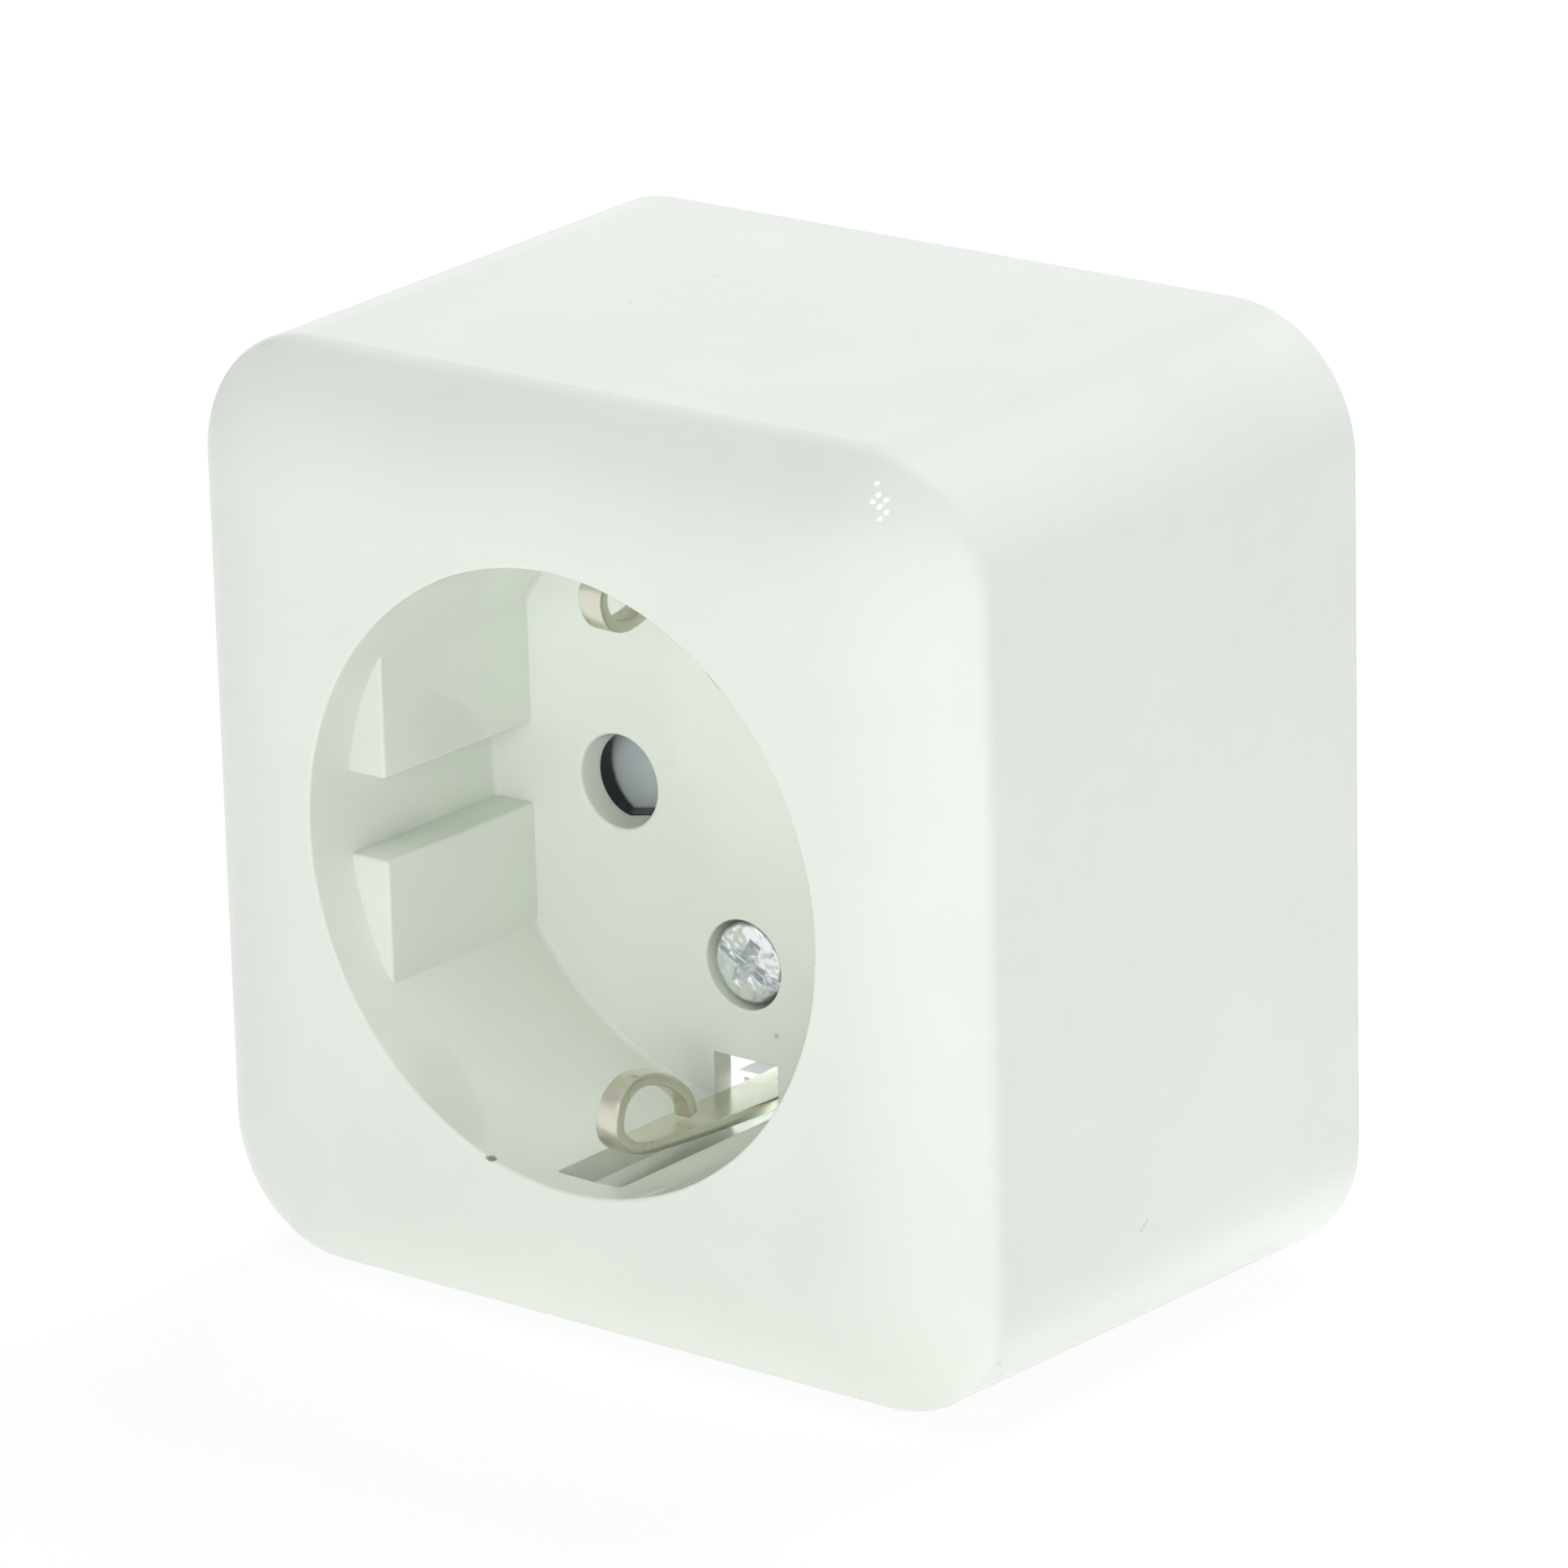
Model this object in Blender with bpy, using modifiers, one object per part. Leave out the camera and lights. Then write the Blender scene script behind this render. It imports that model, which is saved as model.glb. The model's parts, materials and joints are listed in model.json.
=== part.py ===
"""Surface mounted socket outlet.

A square domed cover holds a round plug recess with side earth clips at its top and bottom and a turning
shutter behind its pin holes. It is screwed to a base that carries the contact block and screws to the wall.

Metres. +X is to the right of someone who faces the socket, +Y goes into the wall and +Z is up. The origin
is the centre of the face that lies on the wall.
"""

import math

import bmesh
import bpy
from mathutils import Matrix, Vector

# Cover
BODY_WIDTH = 0.0612
BODY_HEIGHT = 0.0612
BODY_DEPTH = 0.0394
CORNER_RADIUS = 0.0088
CORNER_SHRINK = 0.6
SIDE_DRAFT = 0.00074
EDGE_RADIUS = 0.0014
DOME_RISE = 0.0037
DOME_WIDTH = 0.0093
COVER_WALL = 0.0020

# Plug recess and its guide lands
RECESS_RADIUS = 0.0195
RECESS_DEPTH = 0.0175
CUP_WALL = 0.0016
FLOOR_THICKNESS = 0.0016
RIM_ROUNDING = 0.0003
FLOOR_FILLET = 0.0004
LAND_STANDING = 0.0031
LAND_START = 0.0036
GROOVE_WIDTH = 0.0053

# Pin holes, with the flat at the back of each
PIN_SPACING = 0.0190
PIN_HOLE_RADIUS = 0.0030
PIN_HOLE_MOUTH = 0.00025
PIN_LEDGE = 0.0004
PIN_BACK_RADIUS = 0.00275
PIN_FLAT = 0.00258
PIN_FLAT_TILT = math.radians(11.0)

# Earth slots and the channels in the recess wall that lead to them
SLOT_WIDTH = 0.0050
SLOT_REACH = 0.0033
CHANNEL_DEPTH = 0.0016
CHANNEL_START = 0.0022
CHANNEL_FULL = 0.0047
CHANNEL_WALL = 0.0012

# Fits
GAP = 0.0003
FIT = 0.0004
PIVOT_PLAY = 0.0001
OVERCUT = 0.0010

# Cover screws, their bosses, inserts and posts
SCREW_PITCH = 0.0202
SCREW_HOLE_RADIUS = 0.0029
SCREW_SINK = 0.0006
COVER_SCREW_HEAD = 0.0019
COVER_SCREW_LENGTH = 0.0090
COVER_SCREW_TURN = math.radians(63.0)
BOSS_WALL = 0.0012
SCREW_RADIUS = 0.0015
INSERT_WALL = 0.0005
INSERT_LENGTH = 0.0055
POST_WALL = 0.0009

# Cable entries: breakouts in the cover's wall over notches in the base
ENTRY_INSET = 0.01385
ENTRY_WIDTH = 0.0085
ENTRY_HEIGHT = 0.0130
ENTRY_SKIN = 0.0009
NOTCH_DEPTH = 0.0042

# Base
BASE_THICKNESS = 0.0020
BASE_RIM_HEIGHT = 0.0030
BASE_RIM_WALL = 0.0012
RIB_WIDTH = 0.0012
RIB_LENGTH = 0.0070
RIB_CLEARANCE = 0.0014
MOUNT_SLOT_WIDTH = 0.0044
MOUNT_SLOT_LENGTH = 0.0090
MOUNT_SLOT_MARGIN = 0.0005
MOUNT_SLOT_Z = 0.0140
LATCH_LENGTH = 0.0020
LATCH_HEIGHT = 0.0031
LATCH_WALL = 0.0004
LATCH_WINDOW_WIDTH = 0.0006
LATCH_WINDOW_HEIGHT = 0.0008

# Shutter and its carrier
CARRIER_RADIUS = 0.0153
CARRIER_WALL = 0.0010
CARRIER_PLATE = 0.0015
WINDOW_RADIUS = 0.0034
SHUTTER_THICKNESS = 0.0018
SHUTTER_REACH = 0.0136
SHUTTER_HALF_WIDTH = 0.0033
SHUTTER_WAIST = 0.0026
SHUTTER_LOBE_START = 0.0058
SHUTTER_CORNER = 0.0010
SHUTTER_BACK_PLAY = 0.0004
RAMP_MIDDLE = 0.0003
RAMP_RISE = 0.0012
HUB_RADIUS = 0.0044
HUB_TUBE_RADIUS = 0.0019
HUB_TUBE_LENGTH = 0.0032
STOP_START = 0.0120
STOP_THICKNESS = 0.0012
PIVOT_RADIUS = 0.0010
PIVOT_SEAT = 0.0029
PEG_RADIUS = 0.00045
PEG_PLACE = 0.0039
PEG_LENGTH = 0.0018

# Shutter spring
SPRING_RADIUS = 0.0026
SPRING_WIRE = 0.0002
SPRING_TURNS = 4
SPRING_POCKET_RADIUS = 0.0048
SPRING_POCKET_DEPTH = 0.0030
SPRING_LEG_SLOT = 0.0012
SPRING_LEG_REACH = 0.0055

# Contact block
BLOCK_HALF_WIDTH = 0.0213
BLOCK_ARM_HALF_HEIGHT = 0.0076
BLOCK_COLUMN_HALF_WIDTH = 0.0086
BLOCK_CORNER = 0.0012
BLOCK_FRONT_WALL = 0.0015
PIN_GUIDE_RADIUS = 0.0029
CHAMBER_INNER = 0.0066
CHAMBER_OUTER = 0.0156
CHAMBER_HALF_HEIGHT = 0.0045
TERMINAL_POCKET_START = 0.0150
TERMINAL_HALF_HEIGHT = 0.0046
EAR_X = 0.0142
EAR_Z = 0.0118
EAR_HALF = 0.0040
EAR_THICKNESS = 0.0030
EAR_STANDOFF = 0.0025
STANDOFF_RADIUS = 0.0032
BLOCK_SCREW_RADIUS = 0.00125
BLOCK_SCREW_HEAD_RADIUS = 0.0024
BLOCK_SCREW_HEAD = 0.0016
BLOCK_SCREW_FLOOR = 0.0008

# Pin contacts
LEAF_GAP = 0.0042
CONTACT_THICKNESS = 0.0008
LEAF_INNER = -0.0024
CONTACT_WEB = 0.0043
CONTACT_BEND = 0.0008
TAIL_END = 0.0111
TAIL_HALF_HEIGHT = 0.0026
CLIP_THICKNESS = 0.0004
CLIP_INNER = -0.0018
CLIP_START = 0.17
CLIP_SHARE = 0.43

# Terminals
TERMINAL_X = 0.0180
TERMINAL_NUT_SIZE = 0.0054
TERMINAL_NUT_THICKNESS = 0.0023
CLAMP_WIDTH = 0.0052
CLAMP_HEIGHT = 0.0064
CLAMP_THICKNESS = 0.0010
CLAMP_LIP = 0.0012
WIRE_SPACE = 0.0030
TERMINAL_HEAD_RADIUS = 0.0026
TERMINAL_HEAD = 0.0020

# Earth strip
STRIP_THICKNESS = 0.0008
STRIP_WEB_WIDTH = 0.0112
STRIP_LEG_WIDTH = 0.0036
STRIP_BEND = 0.0012
LEG_WALL_GAP = 0.0001
EARTH_TAB_END = 0.0166
EARTH_TAB_LOW = 0.0096
EARTH_TAB_HIGH = 0.0164
EARTH_SCREW_X = 0.0128
EARTH_SCREW_Z = 0.0130
COLLAR_RADIUS = 0.0028
COLLAR_HEIGHT = 0.0015

# The clip's middle line in front of its leg: depth in the recess, distance from its wall, and width
CLIP_LINE = (
    (0.0180, 0.00050, 0.0036),
    (0.0122, 0.00074, 0.0032),
    (0.0069, 0.00104, 0.0023),
    (0.0051, 0.00162, 0.0019),
    (0.0043, 0.00280, 0.0017),
    (0.0049, 0.00450, 0.0016),
    (0.0067, 0.00525, 0.0015),
    (0.0092, 0.00450, 0.0014),
    (0.0111, 0.00295, 0.0013),
    (0.0116, 0.00160, 0.0012),
)
UPPER_CLIP_REACH = 0.91

# Fineness of round shapes
ROUND_STEPS = 24
SMALL_STEPS = 16
RECESS_STEPS = 80
CORNER_STEPS = 8
INNER_CORNER_STEPS = 4
EDGE_STEPS = 3
DOME_STEPS = 5
ARC_STEPS = 4
FILLET_STEPS = 2

# Places along Y, from the front to the wall
FRONT_Y = -BODY_DEPTH
FLOOR_Y = FRONT_Y + RECESS_DEPTH
FLOOR_BACK_Y = FLOOR_Y + FLOOR_THICKNESS
CARRIER_FRONT_Y = FLOOR_BACK_Y + GAP
SHUTTER_FRONT_Y = CARRIER_FRONT_Y + CARRIER_PLATE + GAP
SHUTTER_BACK_Y = SHUTTER_FRONT_Y + SHUTTER_THICKNESS
CARRIER_BACK_Y = SHUTTER_BACK_Y + SHUTTER_BACK_PLAY
BLOCK_FRONT_Y = CARRIER_BACK_Y + GAP
POST_FRONT_Y = BLOCK_FRONT_Y
BASE_FRONT_Y = -BASE_THICKNESS
RIM_FRONT_Y = BASE_FRONT_Y - BASE_RIM_HEIGHT
BLOCK_BACK_Y = BASE_FRONT_Y - GAP
WEB_BACK_Y = BASE_FRONT_Y - GAP
WEB_FRONT_Y = WEB_BACK_Y - STRIP_THICKNESS
BOSS_BACK_Y = POST_FRONT_Y - GAP
COVER_HEAD_BACK_Y = FLOOR_Y + SCREW_SINK + COVER_SCREW_HEAD
COUNTERBORE_Y = COVER_HEAD_BACK_Y + GAP
STANDOFF_FRONT_Y = BASE_FRONT_Y - EAR_STANDOFF
EAR_BACK_Y = STANDOFF_FRONT_Y - GAP
EAR_FRONT_Y = EAR_BACK_Y - EAR_THICKNESS
CONTACT_FRONT_Y = BLOCK_FRONT_Y + BLOCK_FRONT_WALL + GAP
CONTACT_BACK_Y = BASE_FRONT_Y - GAP
NUT_BACK_Y = BASE_FRONT_Y - GAP
NUT_FRONT_Y = NUT_BACK_Y - TERMINAL_NUT_THICKNESS
TAIL_BACK_Y = NUT_FRONT_Y - GAP
TAIL_FRONT_Y = TAIL_BACK_Y - CONTACT_THICKNESS
CLAMP_BACK_Y = TAIL_FRONT_Y - WIRE_SPACE
COLLAR_FRONT_Y = WEB_FRONT_Y - COLLAR_HEIGHT
EARTH_CLAMP_BACK_Y = COLLAR_FRONT_Y - WIRE_SPACE * 0.6

# Places across the socket
PIN_X = PIN_SPACING / 2
SCREW_Z = SCREW_PITCH / 2
CUP_RADIUS = RECESS_RADIUS + CUP_WALL
SCREW_CLEARANCE = SCREW_RADIUS + GAP
BOSS_RADIUS = SCREW_HOLE_RADIUS + BOSS_WALL
INSERT_RADIUS = SCREW_CLEARANCE + INSERT_WALL
POST_RADIUS = INSERT_RADIUS + GAP + POST_WALL
LEG_Z = RECESS_RADIUS - LEG_WALL_GAP - STRIP_THICKNESS / 2
BLOCK_COLUMN_HALF_HEIGHT = LEG_Z - STRIP_THICKNESS / 2 - 2 * GAP
BASE_HALF_WIDTH = BODY_WIDTH / 2 - COVER_WALL - FIT
ENTRY_OFFSET = BODY_WIDTH / 2 - ENTRY_INSET
RIB_OFFSET = ENTRY_OFFSET - ENTRY_WIDTH / 2 - RIB_CLEARANCE - RIB_WIDTH / 2
MOUNT_SLOT_X = BASE_HALF_WIDTH - BASE_RIM_WALL - MOUNT_SLOT_MARGIN - MOUNT_SLOT_LENGTH / 2
BASE_HALF_HEIGHT = BODY_HEIGHT / 2 - COVER_WALL - FIT

# Turns that lay a shape made along Z, or flat in XY, across the socket
ALONG_Y = Matrix.Rotation(-math.pi / 2, 4, "X")
FACING_FRONT = Matrix.Rotation(math.pi / 2, 4, "X")
FACING_SIDE = Matrix(((0, 0, 1, 0), (1, 0, 0, 0), (0, 1, 0, 0), (0, 0, 0, 1)))

# Colour, roughness and metallic value of each finish
FINISHES = {
    "cream": ((0.78, 0.82, 0.77), 0.32, 0.0),
    "white": ((0.84, 0.85, 0.83), 0.45, 0.0),
    "thermoset": ((0.72, 0.72, 0.68), 0.55, 0.0),
    "black": ((0.02, 0.02, 0.02), 0.45, 0.0),
    "grey": ((0.27, 0.31, 0.33), 0.50, 0.0),
    "nickel": ((0.62, 0.60, 0.54), 0.25, 1.0),
    "brass": ((0.72, 0.52, 0.24), 0.30, 1.0),
    "zinc": ((0.66, 0.68, 0.70), 0.28, 1.0),
    "steel": ((0.56, 0.57, 0.58), 0.35, 1.0),
}


def clear_scene():
    """Remove what the new file came with."""
    for item in list(bpy.data.objects):
        bpy.data.objects.remove(item)


def new_collection(name):
    """A collection linked to the scene."""
    collection = bpy.data.collections.new(name)
    bpy.context.scene.collection.children.link(collection)
    return collection


def mesh_object(name, bm):
    """An unlinked object that holds a finished bmesh."""
    mesh = bpy.data.meshes.new(name)
    bm.to_mesh(mesh)
    bm.free()
    return bpy.data.objects.new(name, mesh)


def outward_object(name, bm):
    """The object of one shape, with its faces turned outwards."""
    bmesh.ops.recalc_face_normals(bm, faces=bm.faces)
    if bm.calc_volume(signed=True) < 0:
        bmesh.ops.reverse_faces(bm, faces=bm.faces)
    return mesh_object(name, bm)


def finish_material(node, finish):
    """The Principled material of one piece."""
    colour, roughness, metallic = FINISHES[finish]
    material = bpy.data.materials.new(node)
    material.use_nodes = True
    shader = material.node_tree.nodes["Principled BSDF"]
    shader.inputs["Base Color"].default_value = (*colour, 1.0)
    shader.inputs["Roughness"].default_value = roughness
    shader.inputs["Metallic"].default_value = metallic
    return material


def as_part(piece, finish):
    """Put a finished piece in the socket's collection, with its material."""
    PARTS.objects.link(piece)
    piece.data.materials.clear()
    piece.data.materials.append(finish_material(piece.name, finish))
    if piece.type == "MESH":
        piece.data.shade_smooth()
        piece.data.set_sharp_from_angle(angle=math.radians(30))
    return piece


def as_cutter(tool):
    """Put a cutter or a shape to be joined in the other collection, out of the model."""
    if not tool.users_collection:
        CUTTERS.objects.link(tool)
    tool.hide_render = True
    tool.display_type = "WIRE"
    return tool


def combine(piece, tool, operation):
    """Cut a piece by another shape, or join that shape to it."""
    modifier = piece.modifiers.new(tool.name, "BOOLEAN")
    modifier.operation = operation
    modifier.object = as_cutter(tool)
    return piece


def cut(piece, *tools):
    """Cut a piece by each of the shapes."""
    for tool in tools:
        combine(piece, tool, "DIFFERENCE")
    return piece


def join(piece, *tools):
    """Join each of the shapes to a piece."""
    for tool in tools:
        combine(piece, tool, "UNION")
    return piece


def boxes(name, *corners):
    """Boxes that stay apart, each from its low corner to its high one."""
    bm = bmesh.new()
    for low, high in corners:
        low, high = Vector(low), Vector(high)
        size = Matrix.Diagonal((*(high - low), 1.0))
        bmesh.ops.create_cube(bm, size=1.0, matrix=Matrix.Translation((low + high) / 2) @ size)
    return mesh_object(name, bm)


def rods(name, radius, front, back, places, steps=ROUND_STEPS):
    """Round rods along Y that stay apart, one at each (x, z)."""
    bm = bmesh.new()
    for x, z in places:
        place = Matrix.Translation((x, (front + back) / 2, z)) @ ALONG_Y
        bmesh.ops.create_cone(
            bm, cap_ends=True, segments=steps, radius1=radius, radius2=radius, depth=back - front, matrix=place
        )
    return mesh_object(name, bm)


def turned(name, profile, place=(0.0, 0.0), closed=False, steps=ROUND_STEPS):
    """A turned shape about a line along Y, from (radius, y) points that run down its outer side."""
    mesh = bpy.data.meshes.new(name)
    edges = [(i, i + 1) for i in range(len(profile) - 1)]
    if closed:
        edges.append((len(profile) - 1, 0))
    mesh.from_pydata([(radius, 0.0, y) for radius, y in profile], edges, [])
    piece = bpy.data.objects.new(name, mesh)
    piece.location = (place[0], 0.0, place[1])
    piece.rotation_euler = (-math.pi / 2, 0.0, 0.0)
    screw = piece.modifiers.new("turn", "SCREW")
    screw.axis = "Z"
    screw.steps = steps
    screw.render_steps = steps
    screw.use_merge_vertices = True
    screw.merge_threshold = 0.00001
    return piece


def rounded_outline(corners, steps=ARC_STEPS):
    """An outline through (u, v, radius) corners, each rounded by its radius."""
    outline = []
    for index, (u, v, radius) in enumerate(corners):
        corner = Vector((u, v))
        before = (Vector(corners[index - 1][:2]) - corner).normalized()
        after = (Vector(corners[(index + 1) % len(corners)][:2]) - corner).normalized()
        if radius <= 0:
            outline.append((u, v))
            continue
        half = before.angle(after) / 2
        centre = corner + (before + after).normalized() * radius / math.sin(half)
        start = corner + before * radius / math.tan(half) - centre
        end = corner + after * radius / math.tan(half) - centre
        first = math.atan2(start.y, start.x)
        sweep = math.remainder(math.atan2(end.y, end.x) - first, 2 * math.pi)
        for step in range(steps + 1):
            angle = first + sweep * step / steps
            outline.append((centre.x + radius * math.cos(angle), centre.y + radius * math.sin(angle)))
    return outline


def rectangle(low_u, low_v, high_u, high_v, radius=0.0, steps=ARC_STEPS):
    """The outline of a rectangle with rounded corners."""
    corners = ((high_u, high_v), (low_u, high_v), (low_u, low_v), (high_u, low_v))
    return rounded_outline([(u, v, radius) for u, v in corners], steps)


def flat_outline(radius, flat, tilt, turn):
    """A circle's outline with a flat at a distance from its centre, tilted, all turned by an angle."""
    half = math.acos(flat / radius)
    start = -math.pi / 2 + tilt + turn + half
    sweep = 2 * math.pi - 2 * half
    angles = [start + sweep * step / ROUND_STEPS for step in range(ROUND_STEPS + 1)]
    return [(radius * math.cos(angle), radius * math.sin(angle)) for angle in angles]


def moved(outline, u, v):
    """An outline shifted in its plane."""
    return [(point[0] + u, point[1] + v) for point in outline]


def sheet(name, outlines, thickness, turn, place):
    """A flat piece from a closed outline and its holes, as thick as said about its place."""
    curve = bpy.data.curves.new(name, "CURVE")
    curve.dimensions = "2D"
    curve.fill_mode = "BOTH"
    curve.extrude = thickness / 2
    for outline in outlines:
        spline = curve.splines.new("POLY")
        spline.points.add(len(outline) - 1)
        for point, (u, v) in zip(spline.points, outline):
            point.co = (u, v, 0.0, 1.0)
        spline.use_cyclic_u = True
    drawn = bpy.data.objects.new(name, curve)
    CUTTERS.objects.link(drawn)
    evaluated = drawn.evaluated_get(bpy.context.evaluated_depsgraph_get())
    bm = bmesh.new()
    mesh = bpy.data.meshes.new_from_object(evaluated)
    bm.from_mesh(mesh)
    bpy.data.meshes.remove(mesh)
    bpy.data.objects.remove(drawn)
    bpy.data.curves.remove(curve)
    bmesh.ops.remove_doubles(bm, verts=bm.verts, dist=0.000001)
    bmesh.ops.dissolve_limit(bm, angle_limit=math.radians(0.1), verts=bm.verts, edges=bm.edges)
    bm.transform(Matrix.Translation(place) @ turn)
    return outward_object(name, bm)


def front_sheet(name, outlines, front, back):
    """A flat piece seen from the front, between two places along Y."""
    return sheet(name, outlines, back - front, FACING_FRONT, (0.0, (front + back) / 2, 0.0))


def side_sheet(name, outline, left, right):
    """A flat piece seen from the side, from (y, z) points, between two places along X."""
    return sheet(name, [outline], right - left, FACING_SIDE, ((left + right) / 2, 0.0, 0.0))


def corner_radius(inset):
    """The housing's corner radius on a section drawn in from its side."""
    return CORNER_RADIUS - CORNER_SHRINK * inset


def body_ring(inset, y, steps=CORNER_STEPS):
    """The housing's square outline, drawn in from its side, at a place along Y."""
    half_width = BODY_WIDTH / 2 - inset
    half_height = BODY_HEIGHT / 2 - inset
    outline = rectangle(-half_width, -half_height, half_width, half_height, corner_radius(inset), steps)
    return [(u, y, v) for u, v in outline]


def body_profile(inside):
    """(depth from the front, inset) of the housing's surface, or of one that lies inside it."""
    dome_angle = 2 * math.atan2(DOME_RISE, DOME_WIDTH)
    dome_radius = DOME_WIDTH / math.sin(dome_angle)
    edge = max(EDGE_RADIUS, inside)
    reach = DOME_WIDTH - edge
    turn = math.asin(reach / (dome_radius - edge))
    edge_depth = dome_radius - math.sqrt((dome_radius - edge) ** 2 - reach ** 2)
    rounding = edge - inside
    profile = [(BODY_DEPTH, inside)]
    steps = EDGE_STEPS if rounding > 0 else 0
    for step in range(steps + 1):
        angle = math.pi / 2 + (turn - math.pi / 2) * step / max(steps, 1)
        profile.append((edge_depth - rounding * math.cos(angle), SIDE_DRAFT + edge - rounding * math.sin(angle)))
    for step in range(1, DOME_STEPS + 1):
        angle = turn * (1 - step / DOME_STEPS)
        depth = dome_radius - (dome_radius - inside) * math.cos(angle)
        profile.append((depth, SIDE_DRAFT + DOME_WIDTH - (dome_radius - inside) * math.sin(angle)))
    return profile


def loft(name, rings):
    """A solid through rings of points, closed at both ends."""
    bm = bmesh.new()
    loops = [[bm.verts.new(point) for point in ring] for ring in rings]
    for loop, following in zip(loops, loops[1:]):
        for index in range(len(loop)):
            after = (index + 1) % len(loop)
            bm.faces.new((loop[index], loop[after], following[after], following[index]))
    bm.faces.new(loops[0])
    bm.faces.new(reversed(loops[-1]))
    return outward_object(name, bm)


def make_recess_cutter():
    """The plug recess: a round pocket whose guide lands stand in at the left and the right."""
    profile = [(0.0, FLOOR_Y)]
    for step in range(FILLET_STEPS + 1):
        angle = math.pi / 2 * step / FILLET_STEPS
        inset = FLOOR_FILLET * (1 - math.sin(angle))
        profile.append((RECESS_RADIUS - inset, FLOOR_Y - FLOOR_FILLET * (1 - math.cos(angle))))
    for step in range(FILLET_STEPS + 1):
        angle = math.pi / 2 * step / FILLET_STEPS
        spread = RIM_ROUNDING * (1 - math.cos(angle))
        profile.append((RECESS_RADIUS + spread, FRONT_Y + RIM_ROUNDING * (1 - math.sin(angle))))
    profile.append((RECESS_RADIUS + RIM_ROUNDING, FRONT_Y - OVERCUT))
    profile.append((0.0, FRONT_Y - OVERCUT))
    recess = as_cutter(turned("cut_recess", profile, steps=RECESS_STEPS))
    lands = []
    for side in (-1, 1):
        for end in (-1, 1):
            across = sorted((side * (RECESS_RADIUS - LAND_STANDING), side * (RECESS_RADIUS + OVERCUT)))
            along = sorted((end * GROOVE_WIDTH / 2, end * RECESS_RADIUS))
            low = (across[0], FRONT_Y + LAND_START, along[0])
            lands.append((low, (across[1], FLOOR_Y + OVERCUT, along[1])))
    return cut(recess, boxes("land_blanks", *lands))


def make_channel_cutter(name, end):
    """An earth slot in the recess floor and the channel in the wall before it, above or below."""
    wall = RECESS_RADIUS + CHANNEL_DEPTH
    outline = (
        (FRONT_Y + CHANNEL_START, end * (RECESS_RADIUS - SLOT_REACH)),
        (FRONT_Y + CHANNEL_START, end * (RECESS_RADIUS - LEG_WALL_GAP)),
        (FRONT_Y + CHANNEL_FULL, end * wall),
        (FLOOR_BACK_Y + OVERCUT, end * wall),
        (FLOOR_BACK_Y + OVERCUT, end * (RECESS_RADIUS - SLOT_REACH)),
    )
    return side_sheet(name, outline, -SLOT_WIDTH / 2, SLOT_WIDTH / 2)


def make_pin_hole_cutters(name, side):
    """A pin hole: a round mouth, a straight wall and a narrower outline with a flat at its back."""
    round_back = FLOOR_BACK_Y - PIN_LEDGE
    profile = (
        (0.0, round_back),
        (PIN_HOLE_RADIUS, round_back),
        (PIN_HOLE_RADIUS, FLOOR_Y + PIN_HOLE_MOUTH),
        (PIN_HOLE_RADIUS + PIN_HOLE_MOUTH, FLOOR_Y),
        (PIN_HOLE_RADIUS + PIN_HOLE_MOUTH, FLOOR_Y - OVERCUT),
        (0.0, FLOOR_Y - OVERCUT),
    )
    mouth = turned(name + "_mouth", profile, (side * PIN_X, 0.0), steps=2 * SMALL_STEPS)
    outline = flat_outline(PIN_BACK_RADIUS, PIN_FLAT, PIN_FLAT_TILT, math.pi if side > 0 else 0.0)
    outline = moved(outline, side * PIN_X, 0.0)
    return mouth, front_sheet(name + "_back", [outline], round_back - OVERCUT / 2, FLOOR_BACK_Y + OVERCUT)


def make_screw_hole_cutter(name, end):
    """The stepped hole for a cover screw."""
    profile = (
        (0.0, BOSS_BACK_Y + OVERCUT),
        (SCREW_CLEARANCE, BOSS_BACK_Y + OVERCUT),
        (SCREW_CLEARANCE, COUNTERBORE_Y),
        (SCREW_HOLE_RADIUS, COUNTERBORE_Y),
        (SCREW_HOLE_RADIUS, FLOOR_Y + RIM_ROUNDING),
        (SCREW_HOLE_RADIUS + RIM_ROUNDING, FLOOR_Y),
        (SCREW_HOLE_RADIUS + RIM_ROUNDING, FLOOR_Y - OVERCUT),
        (0.0, FLOOR_Y - OVERCUT),
    )
    return turned(name, profile, (0.0, end * SCREW_Z), steps=2 * SMALL_STEPS)


def make_cover_ribs():
    """The ribs inside the cover that stop it on the base's rim."""
    front = RIM_FRONT_Y - GAP - RIB_LENGTH
    back = RIM_FRONT_Y - GAP
    blanks = []
    for side in (-1, 1):
        for offset in (-RIB_OFFSET, RIB_OFFSET):
            near = offset - RIB_WIDTH / 2
            far = offset + RIB_WIDTH / 2
            across = sorted((side * (BASE_HALF_WIDTH - BASE_RIM_WALL), side * (BODY_WIDTH / 2 - COVER_WALL / 2)))
            up = sorted((side * (BASE_HALF_HEIGHT - BASE_RIM_WALL), side * (BODY_HEIGHT / 2 - COVER_WALL / 2)))
            blanks.append(((across[0], front, near), (across[1], back, far)))
            blanks.append(((near, front, up[0]), (far, back, up[1])))
    return boxes("cover_ribs", *blanks)


def make_breakout_cutters():
    """Pockets inside the cover's top and bottom wall that leave a thin skin over each cable entry."""
    pockets = []
    for side in (-1, 1):
        for end in (-1, 1):
            across = sorted((side * (ENTRY_OFFSET - ENTRY_WIDTH / 2), side * (ENTRY_OFFSET + ENTRY_WIDTH / 2)))
            inner = BODY_HEIGHT / 2 - COVER_WALL - OVERCUT
            up = sorted((end * inner, end * (BODY_HEIGHT / 2 - ENTRY_SKIN)))
            pockets.append(((across[0], -ENTRY_HEIGHT, up[0]), (across[1], OVERCUT, up[1])))
    return boxes("cut_breakouts", *pockets)


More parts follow.
